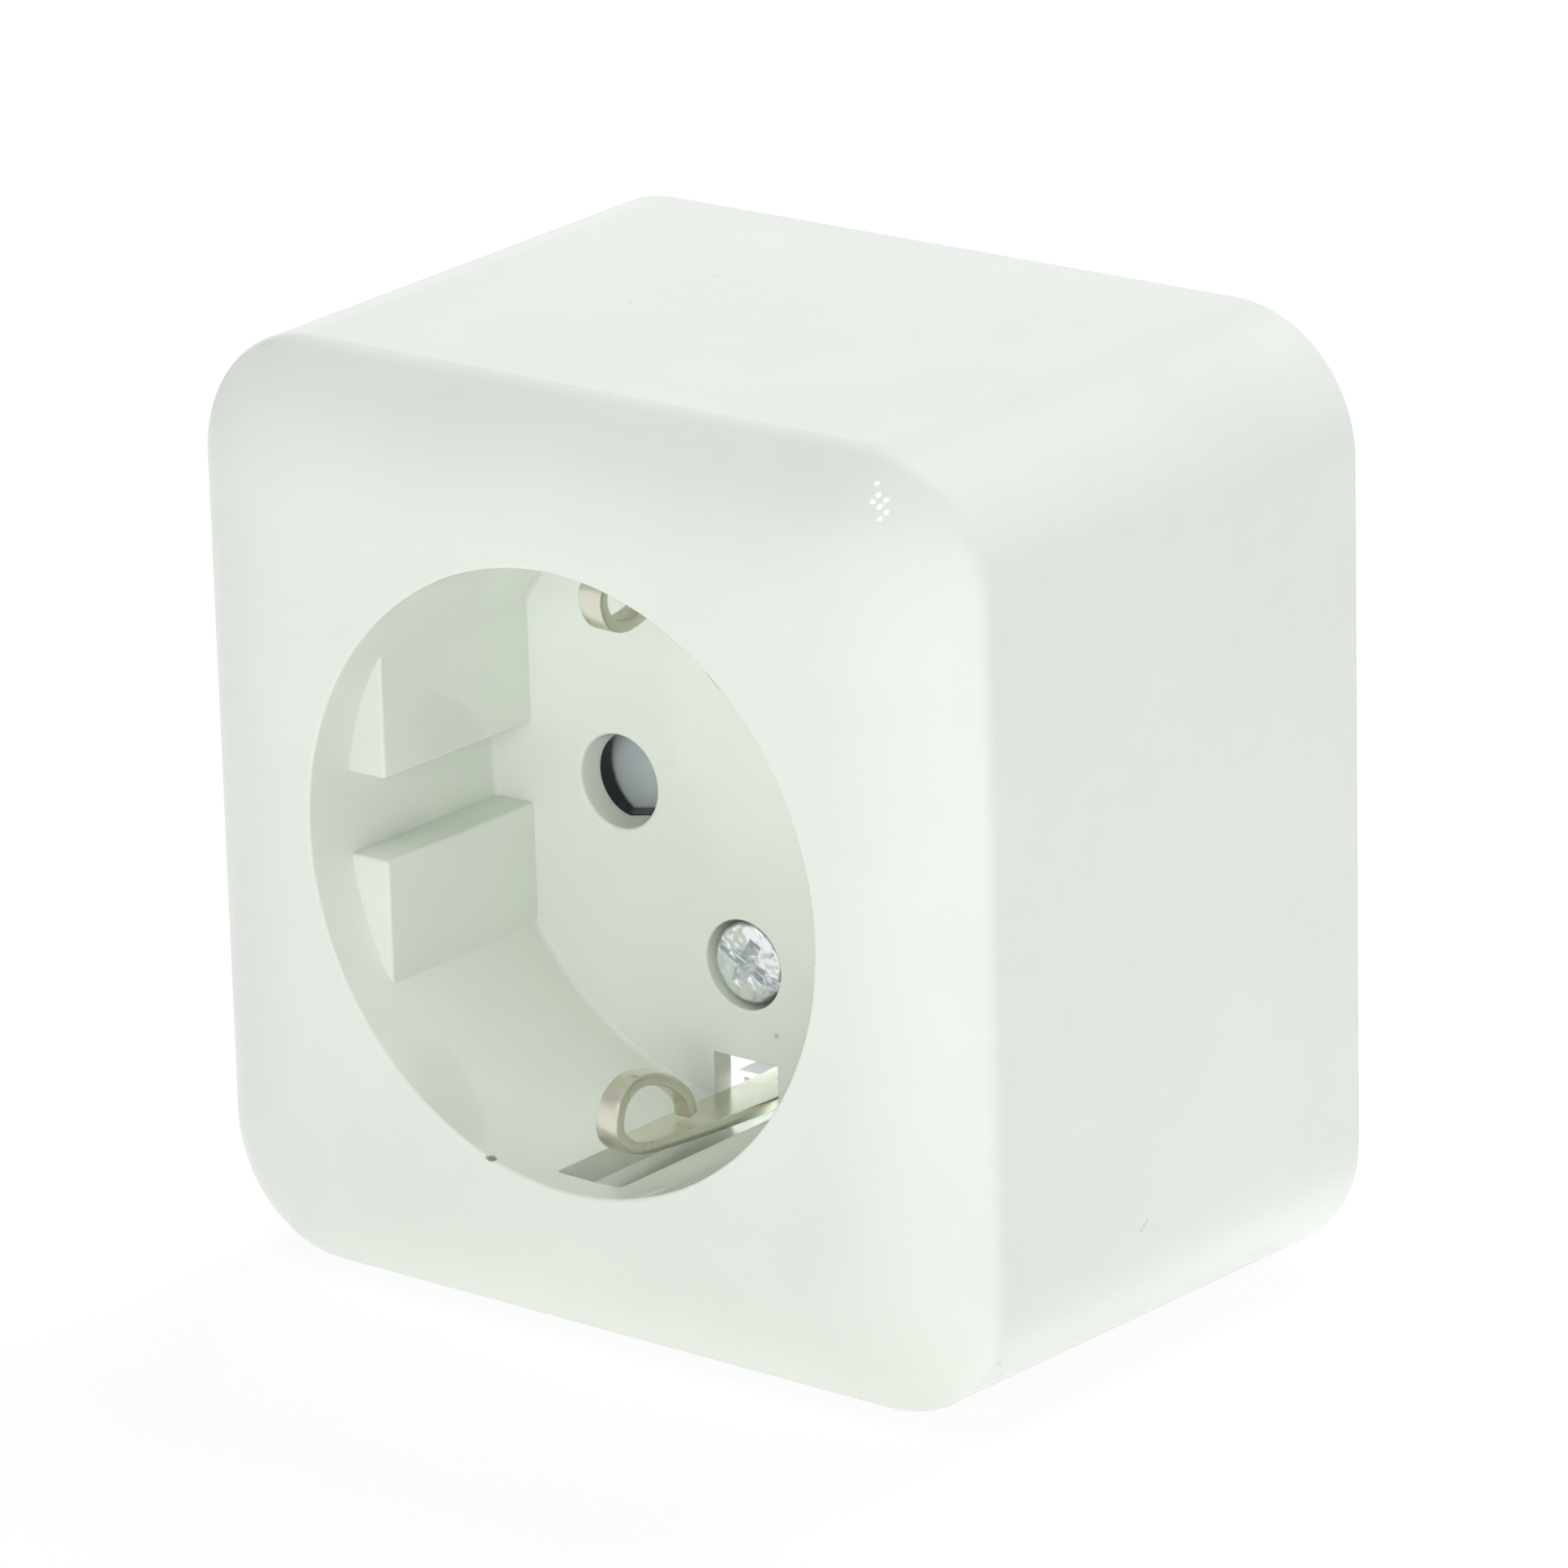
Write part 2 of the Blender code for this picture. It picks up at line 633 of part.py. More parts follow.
def make_cover():
    """The cover: a domed square housing with the plug recess moulded in."""
    outer = [body_ring(inset, depth + FRONT_Y) for depth, inset in body_profile(0.0)]
    steps = INNER_CORNER_STEPS
    inner = [body_ring(inset, depth + FRONT_Y, steps) for depth, inset in body_profile(COVER_WALL)]
    inner.insert(0, body_ring(COVER_WALL, OVERCUT, steps))
    cover = cut(loft("cover", outer), loft("cut_cavity", inner))
    inside_front = FRONT_Y + COVER_WALL / 2
    cup = rods("cup", CUP_RADIUS, inside_front, FLOOR_BACK_Y, [(0.0, 0.0)], RECESS_STEPS)
    half = SLOT_WIDTH / 2 + CHANNEL_WALL
    reach = RECESS_RADIUS + CHANNEL_DEPTH + CHANNEL_WALL
    bulge_back = FLOOR_BACK_Y - GAP / 2
    bulges = boxes(
        "channel_bulges",
        ((-half, inside_front, RECESS_RADIUS - FLOOR_THICKNESS), (half, bulge_back, reach)),
        ((-half, inside_front, -reach), (half, bulge_back, FLOOR_THICKNESS - RECESS_RADIUS)),
    )
    screw_places = [(0.0, SCREW_Z), (0.0, -SCREW_Z)]
    bosses = rods("screw_bosses", BOSS_RADIUS, FLOOR_BACK_Y - FLOOR_THICKNESS / 2, BOSS_BACK_Y, screw_places)
    join(cover, cup, bulges, bosses, make_cover_ribs())
    cut(cover, make_recess_cutter())
    cut(cover, make_channel_cutter("cut_upper_channel", 1), make_channel_cutter("cut_lower_channel", -1))
    cut(cover, *make_pin_hole_cutters("cut_left_pin", -1), *make_pin_hole_cutters("cut_right_pin", 1))
    cut(cover, make_screw_hole_cutter("cut_upper_screw", 1), make_screw_hole_cutter("cut_lower_screw", -1))
    cut(cover, make_breakout_cutters())
    return as_part(cover, "cream")


def slot_outline(u, v, length_u, length_v):
    """A slot with round ends, centred at (u, v)."""
    radius = min(length_u, length_v) / 2
    box = (u - length_u / 2, v - length_v / 2, u + length_u / 2, v + length_v / 2)
    return rectangle(*box, radius * 0.999)


def make_base_plate():
    """The base: a tray with a low rim, posts for the cover screws and notches for the cable."""
    radius = corner_radius(COVER_WALL) - FIT
    outline = rectangle(-BASE_HALF_WIDTH, -BASE_HALF_HEIGHT, BASE_HALF_WIDTH, BASE_HALF_HEIGHT, radius)
    slots = [
        slot_outline(-MOUNT_SLOT_X, MOUNT_SLOT_Z, MOUNT_SLOT_WIDTH, MOUNT_SLOT_LENGTH),
        slot_outline(MOUNT_SLOT_X, -MOUNT_SLOT_Z, MOUNT_SLOT_LENGTH, MOUNT_SLOT_WIDTH),
    ]
    base = front_sheet("base_plate", [outline, *slots], RIM_FRONT_Y, 0.0)
    inside_width = BASE_HALF_WIDTH - BASE_RIM_WALL
    inside_height = BASE_HALF_HEIGHT - BASE_RIM_WALL
    inside = rectangle(-inside_width, -inside_height, inside_width, inside_height, radius - BASE_RIM_WALL)
    cut(base, front_sheet("cut_tray", [inside], RIM_FRONT_Y - OVERCUT, BASE_FRONT_Y))

    notches = []
    tabs = []
    windows = []
    for side in (-1, 1):
        for end in (-1, 1):
            inner = ENTRY_OFFSET - ENTRY_WIDTH / 2
            across = sorted((side * inner, side * (inner + ENTRY_WIDTH)))
            up = sorted((end * (BASE_HALF_HEIGHT - NOTCH_DEPTH), end * (BASE_HALF_HEIGHT + OVERCUT)))
            low = (across[0], RIM_FRONT_Y - OVERCUT, up[0])
            notches.append((low, (across[1], OVERCUT, up[1])))
            if side == end:
                across = sorted((side * (inner - OVERCUT), side * (inner + LATCH_LENGTH)))
                up = sorted((end * (BASE_HALF_HEIGHT - LATCH_HEIGHT), end * (BASE_HALF_HEIGHT - GAP / 2)))
                front = RIM_FRONT_Y + GAP
                tabs.append(((across[0], front, up[0]), (across[1], BASE_FRONT_Y / 2, up[1])))
                outer = inner + LATCH_LENGTH - LATCH_WALL
                across = sorted((side * (outer - LATCH_WINDOW_WIDTH), side * outer))
                near = BASE_HALF_HEIGHT - LATCH_HEIGHT + LATCH_WALL
                up = sorted((end * near, end * (near + LATCH_WINDOW_HEIGHT)))
                windows.append(((across[0], front - OVERCUT, up[0]), (across[1], OVERCUT, up[1])))
    cut(base, boxes("cut_notches", *notches))
    join(base, boxes("latch_tabs", *tabs))
    cut(base, boxes("cut_latch_windows", *windows))

    screw_places = [(0.0, SCREW_Z), (0.0, -SCREW_Z)]
    ear_places = [(-EAR_X, EAR_Z), (EAR_X, -EAR_Z)]
    root = BASE_FRONT_Y / 2
    join(base, rods("posts", POST_RADIUS, POST_FRONT_Y, root, screw_places))
    join(base, rods("standoffs", STANDOFF_RADIUS, STANDOFF_FRONT_Y, root, ear_places))
    insert_end = POST_FRONT_Y + INSERT_LENGTH + GAP
    tip_end = COVER_HEAD_BACK_Y + COVER_SCREW_LENGTH + OVERCUT
    cut(base, rods("cut_insert_bores", INSERT_RADIUS + GAP, POST_FRONT_Y - OVERCUT, insert_end, screw_places))
    cut(base, rods("cut_tip_bores", SCREW_CLEARANCE, POST_FRONT_Y, tip_end, screw_places))
    bore = BLOCK_SCREW_RADIUS + GAP
    cut(base, rods("cut_ear_bores", bore, STANDOFF_FRONT_Y - OVERCUT, -BLOCK_SCREW_FLOOR, ear_places))
    return as_part(base, "white")


def make_contact_block():
    """The insulating block with its contact chambers, terminal pockets and fixing ears."""
    column = rectangle(
        -BLOCK_COLUMN_HALF_WIDTH,
        -BLOCK_COLUMN_HALF_HEIGHT,
        BLOCK_COLUMN_HALF_WIDTH,
        BLOCK_COLUMN_HALF_HEIGHT,
        BLOCK_CORNER,
    )
    block = front_sheet("contact_block", [column], BLOCK_FRONT_Y, BLOCK_BACK_Y)
    wide, low = BLOCK_HALF_WIDTH, BLOCK_ARM_HALF_HEIGHT
    arms = rectangle(-wide, -low, wide, low, BLOCK_CORNER)
    join(block, front_sheet("block_arms", [arms], BLOCK_FRONT_Y + GAP, BLOCK_BACK_Y - GAP))
    inner = BLOCK_COLUMN_HALF_WIDTH - BLOCK_CORNER
    outer = EAR_X + EAR_HALF
    low = BLOCK_ARM_HALF_HEIGHT - BLOCK_CORNER
    high = EAR_Z + EAR_HALF
    ears = boxes(
        "block_ears",
        ((-outer, EAR_FRONT_Y, low), (-inner, EAR_BACK_Y, high)),
        ((inner, EAR_FRONT_Y, -high), (outer, EAR_BACK_Y, -low)),
    )
    join(block, ears)

    chambers = []
    pockets = []
    for side in (-1, 1):
        across = sorted((side * CHAMBER_INNER, side * CHAMBER_OUTER))
        front = BLOCK_FRONT_Y + BLOCK_FRONT_WALL
        low = (across[0], front, -CHAMBER_HALF_HEIGHT)
        chambers.append((low, (across[1], BLOCK_BACK_Y + OVERCUT, CHAMBER_HALF_HEIGHT)))
        across = sorted((side * TERMINAL_POCKET_START, side * (BLOCK_HALF_WIDTH + OVERCUT)))
        low = (across[0], BLOCK_FRONT_Y - OVERCUT, -TERMINAL_HALF_HEIGHT)
        pockets.append((low, (across[1], BLOCK_BACK_Y + OVERCUT, TERMINAL_HALF_HEIGHT)))
    cut(block, boxes("cut_chambers", *chambers), boxes("cut_terminal_pockets", *pockets))

    front, back = BLOCK_FRONT_Y - OVERCUT, BLOCK_BACK_Y + OVERCUT
    pins = [(-PIN_X, 0.0), (PIN_X, 0.0)]
    guide_back = BLOCK_FRONT_Y + BLOCK_FRONT_WALL + OVERCUT
    cut(block, rods("cut_pin_guides", PIN_GUIDE_RADIUS, front, guide_back, pins))
    cut(block, rods("cut_post_holes", POST_RADIUS + GAP, front, back, [(0.0, SCREW_Z), (0.0, -SCREW_Z)]))
    ears_at = [(-EAR_X, EAR_Z), (EAR_X, -EAR_Z)]
    cut(block, rods("cut_ear_holes", BLOCK_SCREW_RADIUS + GAP, EAR_FRONT_Y - OVERCUT, back, ears_at))

    pocket_back = BLOCK_FRONT_Y + SPRING_POCKET_DEPTH
    centre = [(0.0, 0.0)]
    cut(block, rods("cut_spring_pocket", SPRING_POCKET_RADIUS, front, pocket_back, centre))
    pivot_back = pocket_back + PIVOT_SEAT + GAP
    cut(block, rods("cut_pivot_seat", PIVOT_RADIUS + PIVOT_PLAY, pocket_back - OVERCUT, pivot_back, centre))
    half_slot = SPRING_LEG_SLOT / 2
    leg_low = (-half_slot, pocket_back - SPRING_LEG_SLOT, -SPRING_LEG_REACH - GAP)
    cut(block, boxes("cut_spring_leg", (leg_low, (half_slot, pocket_back - GAP / 4, -SPRING_RADIUS))))

    half_web = STRIP_WEB_WIDTH / 2 + GAP
    tab_edge = BLOCK_COLUMN_HALF_WIDTH + OVERCUT
    tab_low, tab_high = EARTH_TAB_LOW - GAP, EARTH_TAB_HIGH + GAP
    far = BLOCK_COLUMN_HALF_HEIGHT + OVERCUT
    groove = (
        (half_web, far),
        (-half_web, far),
        (-half_web, -far),
        (half_web, -far),
        (half_web, tab_low),
        (tab_edge, tab_low),
        (tab_edge, tab_high),
        (half_web, tab_high),
    )
    cut(block, front_sheet("cut_strip_groove", [groove], WEB_FRONT_Y - GAP, back))
    return as_part(block, "thermoset")


def make_shutter_carrier():
    """The black ring behind the recess floor: a plate with a window for each pin and a round wall."""
    plate_back = CARRIER_FRONT_Y + CARRIER_PLATE
    inside = CARRIER_RADIUS - CARRIER_WALL
    profile = (
        (0.0, plate_back),
        (inside, plate_back),
        (inside, CARRIER_BACK_Y),
        (CARRIER_RADIUS, CARRIER_BACK_Y),
        (CARRIER_RADIUS, CARRIER_FRONT_Y),
        (0.0, CARRIER_FRONT_Y),
    )
    carrier = turned("shutter_carrier", profile, steps=2 * ROUND_STEPS)
    stops = []
    for side in (-1, 1):
        near = SHUTTER_HALF_WIDTH + GAP
        across = sorted((side * STOP_START, side * inside))
        up = sorted((-side * near, -side * (near + STOP_THICKNESS)))
        low = (across[0], plate_back - CARRIER_PLATE / 4, up[0])
        stops.append((low, (across[1], SHUTTER_BACK_Y, up[1])))
    join(carrier, boxes("shutter_stops", *stops))
    front, back = CARRIER_FRONT_Y - OVERCUT, plate_back + OVERCUT
    for side, name in ((-1, "cut_left_window"), (1, "cut_right_window")):
        outline = flat_outline(WINDOW_RADIUS, PIN_FLAT, PIN_FLAT_TILT, math.pi if side > 0 else 0.0)
        cut(carrier, front_sheet(name, [moved(outline, side * PIN_X, 0.0)], front, back))
    bosses = [(0.0, SCREW_Z), (0.0, -SCREW_Z)]
    cut(carrier, rods("cut_boss_holes", BOSS_RADIUS + GAP, front, back, bosses))
    seat_front = plate_back - CARRIER_PLATE * 0.6
    cut(carrier, rods("cut_pivot_tip", PIVOT_RADIUS + PIVOT_PLAY, seat_front, back, [(0.0, 0.0)]))
    half = STRIP_LEG_WIDTH / 2 + GAP
    near, far = LEG_Z - STRIP_THICKNESS / 2 - GAP, RECESS_RADIUS + OVERCUT
    back = CARRIER_BACK_Y + OVERCUT
    legs = boxes("cut_leg_gaps", ((-half, front, near), (half, back, far)), ((-half, front, -far), (half, back, -near)))
    return as_part(cut(carrier, legs), "black")


def make_shutter():
    """The turning shutter: two lobes on a hub, with a ramp on each for the pin to push."""
    reach, half = SHUTTER_REACH, SHUTTER_HALF_WIDTH
    waist, start = SHUTTER_WAIST, SHUTTER_LOBE_START
    quarter = ((reach, half, SHUTTER_CORNER), (start, half, SHUTTER_CORNER), (start - SHUTTER_CORNER, waist, 0.0))
    corners = list(quarter)
    corners += [(-u, v, radius) for u, v, radius in reversed(quarter)]
    corners += [(-u, -v, radius) for u, v, radius in quarter]
    corners += [(u, -v, radius) for u, v, radius in reversed(quarter)]
    shutter = front_sheet("shutter", [rounded_outline(corners)], SHUTTER_FRONT_Y, SHUTTER_BACK_Y)
    centre = [(0.0, 0.0)]
    inside_front = SHUTTER_FRONT_Y + GAP / 4
    hub = rods("shutter_hub", HUB_RADIUS, inside_front, SHUTTER_BACK_Y - GAP / 4, centre)
    tube = rods("hub_tube", HUB_TUBE_RADIUS, inside_front + GAP, SHUTTER_BACK_Y + HUB_TUBE_LENGTH, centre)
    peg = rods("peg", PEG_RADIUS, inside_front + GAP, SHUTTER_BACK_Y + PEG_LENGTH, [(0.0, PEG_PLACE)], ROUND_STEPS // 2)
    join(shutter, hub, tube, peg)
    for side, name in ((-1, "cut_left_ramp"), (1, "cut_right_ramp")):
        far = half + OVERCUT
        deep = RAMP_MIDDLE + (RAMP_RISE - RAMP_MIDDLE) * far / half
        outline = (
            (SHUTTER_FRONT_Y, side * half),
            (SHUTTER_FRONT_Y + RAMP_MIDDLE, 0.0),
            (SHUTTER_FRONT_Y + deep, -side * far),
            (SHUTTER_FRONT_Y - OVERCUT, -side * far),
            (SHUTTER_FRONT_Y - OVERCUT, side * half),
        )
        left, right = sorted((side * start, side * (reach + OVERCUT)))
        cut(shutter, side_sheet(name, outline, left, right))
    bore = PIVOT_RADIUS + PIVOT_PLAY
    cut(shutter, rods("cut_hub", bore, SHUTTER_FRONT_Y - OVERCUT, SHUTTER_BACK_Y + 2 * HUB_TUBE_LENGTH, centre))
    return as_part(shutter, "grey")


def make_shutter_pin():
    """The steel pin that the shutter turns on, with chamfered ends."""
    front = CARRIER_FRONT_Y + CARRIER_PLATE * 0.4 + GAP
    back = BLOCK_FRONT_Y + SPRING_POCKET_DEPTH + PIVOT_SEAT
    chamfer = PIVOT_RADIUS / 4
    profile = (
        (0.0, back),
        (PIVOT_RADIUS - chamfer, back),
        (PIVOT_RADIUS, back - chamfer),
        (PIVOT_RADIUS, front + chamfer),
        (PIVOT_RADIUS - chamfer, front),
        (0.0, front),
    )
    return as_part(turned("shutter_pin", profile), "steel")


def make_shutter_spring():
    """The shutter's torsion spring: a coil round the hub, with a leg on the peg and one in the block."""
    front = SHUTTER_BACK_Y + 0.0011
    back = BLOCK_FRONT_Y + SPRING_POCKET_DEPTH - SPRING_LEG_SLOT / 2
    leg_side = PEG_RADIUS + SPRING_WIRE + GAP
    first = math.pi - math.acos(leg_side / SPRING_RADIUS)
    last = first + 2 * math.pi * (SPRING_TURNS - 1) + (1.5 * math.pi - first)
    per_turn = ROUND_STEPS // 2
    count = SPRING_TURNS * per_turn
    points = [(-leg_side, front, PEG_PLACE + PEG_RADIUS)]
    for index in range(count + 1):
        share = index / count
        angle = first + (last - first) * share
        y = front + (back - front) * share
        points.append((SPRING_RADIUS * math.cos(angle), y, SPRING_RADIUS * math.sin(angle)))
    points.append((0.0, back, -SPRING_LEG_REACH))
    wire = bpy.data.curves.new("shutter_spring", "CURVE")
    wire.dimensions = "3D"
    wire.bevel_depth = SPRING_WIRE
    wire.bevel_resolution = 2
    wire.use_fill_caps = True
    spline = wire.splines.new("POLY")
    spline.points.add(len(points) - 1)
    for point, place in zip(spline.points, points):
        point.co = (*place, 1.0)
    return as_part(bpy.data.objects.new("shutter_spring", wire), "steel")


def bent_strip(name, path, bend, thickness, front, back):
    """A strip bent along (x, z) points in the front view, as an open surface with Solidify."""
    line = [path[0]]
    for before, corner, after in zip(path, path[1:], path[2:]):
        rounded = rounded_outline([(*before, 0.0), (*corner, bend), (*after, 0.0)])
        line += rounded[1:-1]
    line.append(path[-1])
    bm = bmesh.new()
    near = [bm.verts.new((x, front, z)) for x, z in line]
    far = [bm.verts.new((x, back, z)) for x, z in line]
    for index in range(len(line) - 1):
        bm.faces.new((near[index], near[index + 1], far[index + 1], far[index]))
    strip = mesh_object(name, bm)
    solid = strip.modifiers.new("thickness", "SOLIDIFY")
    solid.thickness = thickness
    solid.offset = 0.0
    return strip


def hairpin(inner, web, half_gap):
    """The (x, z) path of a hairpin that is open towards the middle of the socket."""
    return [(inner, half_gap), (web, half_gap), (web, -half_gap), (inner, -half_gap)]


def place_at_pin(piece, side):
    """Put a piece that was made about a pin's axis at the left or the right pin."""
    piece.location.x = side * PIN_X
    piece.rotation_euler.y = math.pi if side < 0 else 0.0
    return piece


def make_contact(name, side):
    """A pin contact: a brass hairpin round the pin and a tail out to the terminal."""
    path = hairpin(LEAF_INNER, CONTACT_WEB, (LEAF_GAP + CONTACT_THICKNESS) / 2)
    bend = CONTACT_BEND
    contact = bent_strip(name, path, bend, CONTACT_THICKNESS, CONTACT_FRONT_Y, CONTACT_BACK_Y)
    low = (CONTACT_WEB, TAIL_FRONT_Y, -TAIL_HALF_HEIGHT)
    tail = boxes(name + "_tail", (low, (TAIL_END, TAIL_BACK_Y, TAIL_HALF_HEIGHT)))
    hole_x = TERMINAL_X - PIN_X
    hole = rods(
        name + "_hole", SCREW_CLEARANCE, TAIL_FRONT_Y - OVERCUT, TAIL_BACK_Y + OVERCUT, [(hole_x, 0.0)]
    )
    for tool in (tail, hole):
        place_at_pin(tool, side)
    join(contact, tail)
    cut(contact, hole)
    return as_part(place_at_pin(contact, side), "brass")


def make_contact_spring(name, side):
    """The steel clip that presses a contact's leaves on the pin."""
    half = LEAF_GAP / 2 + CONTACT_THICKNESS + GAP + CLIP_THICKNESS / 2
    web = CONTACT_WEB + CONTACT_THICKNESS / 2 + GAP + CLIP_THICKNESS / 2
    leaf = TAIL_FRONT_Y - CONTACT_FRONT_Y
    front = CONTACT_FRONT_Y + leaf * CLIP_START
    path = hairpin(CLIP_INNER, web, half)
    clip = bent_strip(name, path, CONTACT_BEND, CLIP_THICKNESS, front, front + leaf * CLIP_SHARE)
    return as_part(place_at_pin(clip, side), "steel")


def make_nut(name, side):
    """The square nut behind a contact's tail."""
    half = TERMINAL_NUT_SIZE / 2
    x = side * TERMINAL_X
    nut = boxes(name, ((x - half, NUT_FRONT_Y, -half), (x + half, NUT_BACK_Y, half)))
    cut(nut, rods(name + "_bore", SCREW_CLEARANCE, NUT_FRONT_Y - OVERCUT, NUT_BACK_Y + OVERCUT, [(x, 0.0)]))
    return as_part(nut, "zinc")


def make_clamp(name, x, z, back):
    """A terminal's clamping plate, with a lip over each side of the wire."""
    front = back - CLAMP_THICKNESS
    half_width, half_height = CLAMP_WIDTH / 2, CLAMP_HEIGHT / 2
    lip = CLAMP_THICKNESS * 0.7
    outline = (
        (front, z - half_height),
        (back + CLAMP_LIP, z - half_height),
        (back + CLAMP_LIP, z - half_height + lip),
        (back, z - half_height + lip),
        (back, z + half_height - lip),
        (back + CLAMP_LIP, z + half_height - lip),
        (back + CLAMP_LIP, z + half_height),
        (front, z + half_height),
    )
    clamp = side_sheet(name, outline, x - half_width, x + half_width)
    cut(clamp, rods(name + "_hole", SCREW_CLEARANCE, front - OVERCUT, back + OVERCUT, [(x, z)]))
    return as_part(clamp, "zinc")


def screw_profile(head_radius, head, shank, seat, tip):
    """The turned profile of a screw whose head lies in front of its seat, with a rounded head edge."""
    chamfer = head * 0.2
    return [
        (0.0, tip),
        (shank - chamfer, tip),
        (shank, tip - chamfer),
        (shank, seat),
        (head_radius, seat),
        (head_radius, seat - head + chamfer),
        (head_radius - chamfer, seat - head),
        (0.0, seat - head),
    ]


def make_screw(name, x, z, head_radius, head, shank, seat, tip, steps=SMALL_STEPS, turn=0.0):
    """A screw along Y with a slot and a cross in its head, turned from upright by an angle."""
    screw = turned(name, screw_profile(head_radius, head, shank, seat, tip), (x, z), steps=steps)
    top = seat - head
    half = head_radius * 0.15
    arm = head_radius * 0.62
    reach = head_radius + OVERCUT
    slot = boxes(name + "_slot", ((-half, top - OVERCUT, -reach), (half, top + head * 0.3, reach)))
    cross = boxes(name + "_cross", ((-arm, top - OVERCUT, -half), (arm, top + head * 0.6, half)))
    for tool in (slot, cross):
        tool.location = (x, 0.0, z)
        tool.rotation_euler.y = turn
    cut(screw, slot, cross)
    return as_part(screw, "zinc")


def make_insert(name, z):
    """A threaded brass insert in one of the base's posts."""
    bore = SCREW_CLEARANCE
    waist = INSERT_RADIUS - INSERT_WALL * 0.4
    back = POST_FRONT_Y + INSERT_LENGTH
    middle = POST_FRONT_Y + INSERT_LENGTH / 2
    half_groove = INSERT_LENGTH * 0.1
    profile = (
        (INSERT_RADIUS, back),
        (INSERT_RADIUS, middle + half_groove),
        (waist, middle + half_groove),
        (waist, middle - half_groove),
        (INSERT_RADIUS, middle - half_groove),
        (INSERT_RADIUS, POST_FRONT_Y),
        (bore, POST_FRONT_Y),
        (bore, back),
    )
    return as_part(turned(name, profile, (0.0, z), closed=True, steps=SMALL_STEPS), "brass")


def smooth_line(points, steps):
    """Points along a Catmull-Rom curve through the points given."""
    points = [Vector(point) for point in points]
    padded = [2 * points[0] - points[1], *points, 2 * points[-1] - points[-2]]
    line = []
    for index in range(len(points) - 1):
        before, start, end, after = padded[index:index + 4]
        for step in range(steps):
            t = step / steps
            line.append(0.5 * (2 * start + (end - before) * t + (2 * before - 5 * start + 4 * end - after) * t ** 2
                               + (3 * start - before - 3 * end + after) * t ** 3))
    line.append(points[-1])
    return line


def strip_stations(reach):
    """(y, z, width) along the earth strip from its middle to a clip's tip, the clip scaled by its reach."""
    web_y = (WEB_FRONT_Y + WEB_BACK_Y) / 2
    wide_end = LEG_Z - STRIP_BEND - STRIP_WEB_WIDTH / 8
    stations = [(web_y, 0.0, STRIP_WEB_WIDTH), (web_y, wide_end - STRIP_WEB_WIDTH / 8, STRIP_WEB_WIDTH)]
    neck = (STRIP_WEB_WIDTH + STRIP_LEG_WIDTH) / 2
    stations.append((web_y, wide_end, neck))
    for step in range(ARC_STEPS + 1):
        angle = math.pi / 2 * step / ARC_STEPS
        y = web_y - STRIP_BEND * (1 - math.cos(angle))
        z = LEG_Z - STRIP_BEND * (1 - math.sin(angle))
        stations.append((y, z, STRIP_LEG_WIDTH))
    leg_inset = CLIP_LINE[0][1]
    line = []
    for depth, inset, width in CLIP_LINE:
        line.append((FRONT_Y + depth, RECESS_RADIUS - leg_inset - (inset - leg_inset) * reach, width))
    stations += [tuple(point) for point in smooth_line(line, ARC_STEPS)]
    return stations


def strip_rings(reach, end):
    """The sections of the earth strip's upper or lower half."""
    stations = strip_stations(reach)
    rings = []
    for index, (y, z, width) in enumerate(stations):
        before = stations[max(index - 1, 0)]
        after = stations[min(index + 1, len(stations) - 1)]
        along = Vector((0.0, after[0] - before[0], after[1] - before[1])).normalized()
        normal = Vector((0.0, -along.z, along.y)) * STRIP_THICKNESS / 2
        middle = Vector((0.0, y, z))
        side = Vector((width / 2, 0.0, 0.0))
        ring = (middle + side + normal, middle - side + normal, middle - side - normal, middle + side - normal)
        rings.append([(point.x, point.y, end * point.z) for point in ring])
    return rings


def make_earth_strip():
    """The earth strip: one U with its two ends curled into the side clips of the recess."""
    upper, lower = strip_rings(UPPER_CLIP_REACH, 1), strip_rings(1.0, -1)
    strip = loft("earth_strip", [*reversed(lower), *upper[1:]])
    tab_low = (STRIP_WEB_WIDTH / 2 - OVERCUT, WEB_FRONT_Y, EARTH_TAB_LOW)
    join(strip, boxes("earth_tab", (tab_low, (EARTH_TAB_END, WEB_BACK_Y, EARTH_TAB_HIGH))))
    screw = [(EARTH_SCREW_X, EARTH_SCREW_Z)]
    join(strip, rods("earth_collar", COLLAR_RADIUS, COLLAR_FRONT_Y, WEB_BACK_Y - STRIP_THICKNESS / 2, screw))
    cut(strip, rods("cut_collar", SCREW_CLEARANCE, COLLAR_FRONT_Y - OVERCUT, WEB_BACK_Y + OVERCUT, screw))
    posts = [(0.0, SCREW_Z), (0.0, -SCREW_Z)]
    cut(strip, rods("cut_web_holes", POST_RADIUS + GAP, WEB_FRONT_Y - OVERCUT, WEB_BACK_Y + OVERCUT, posts))
    return as_part(strip, "nickel")


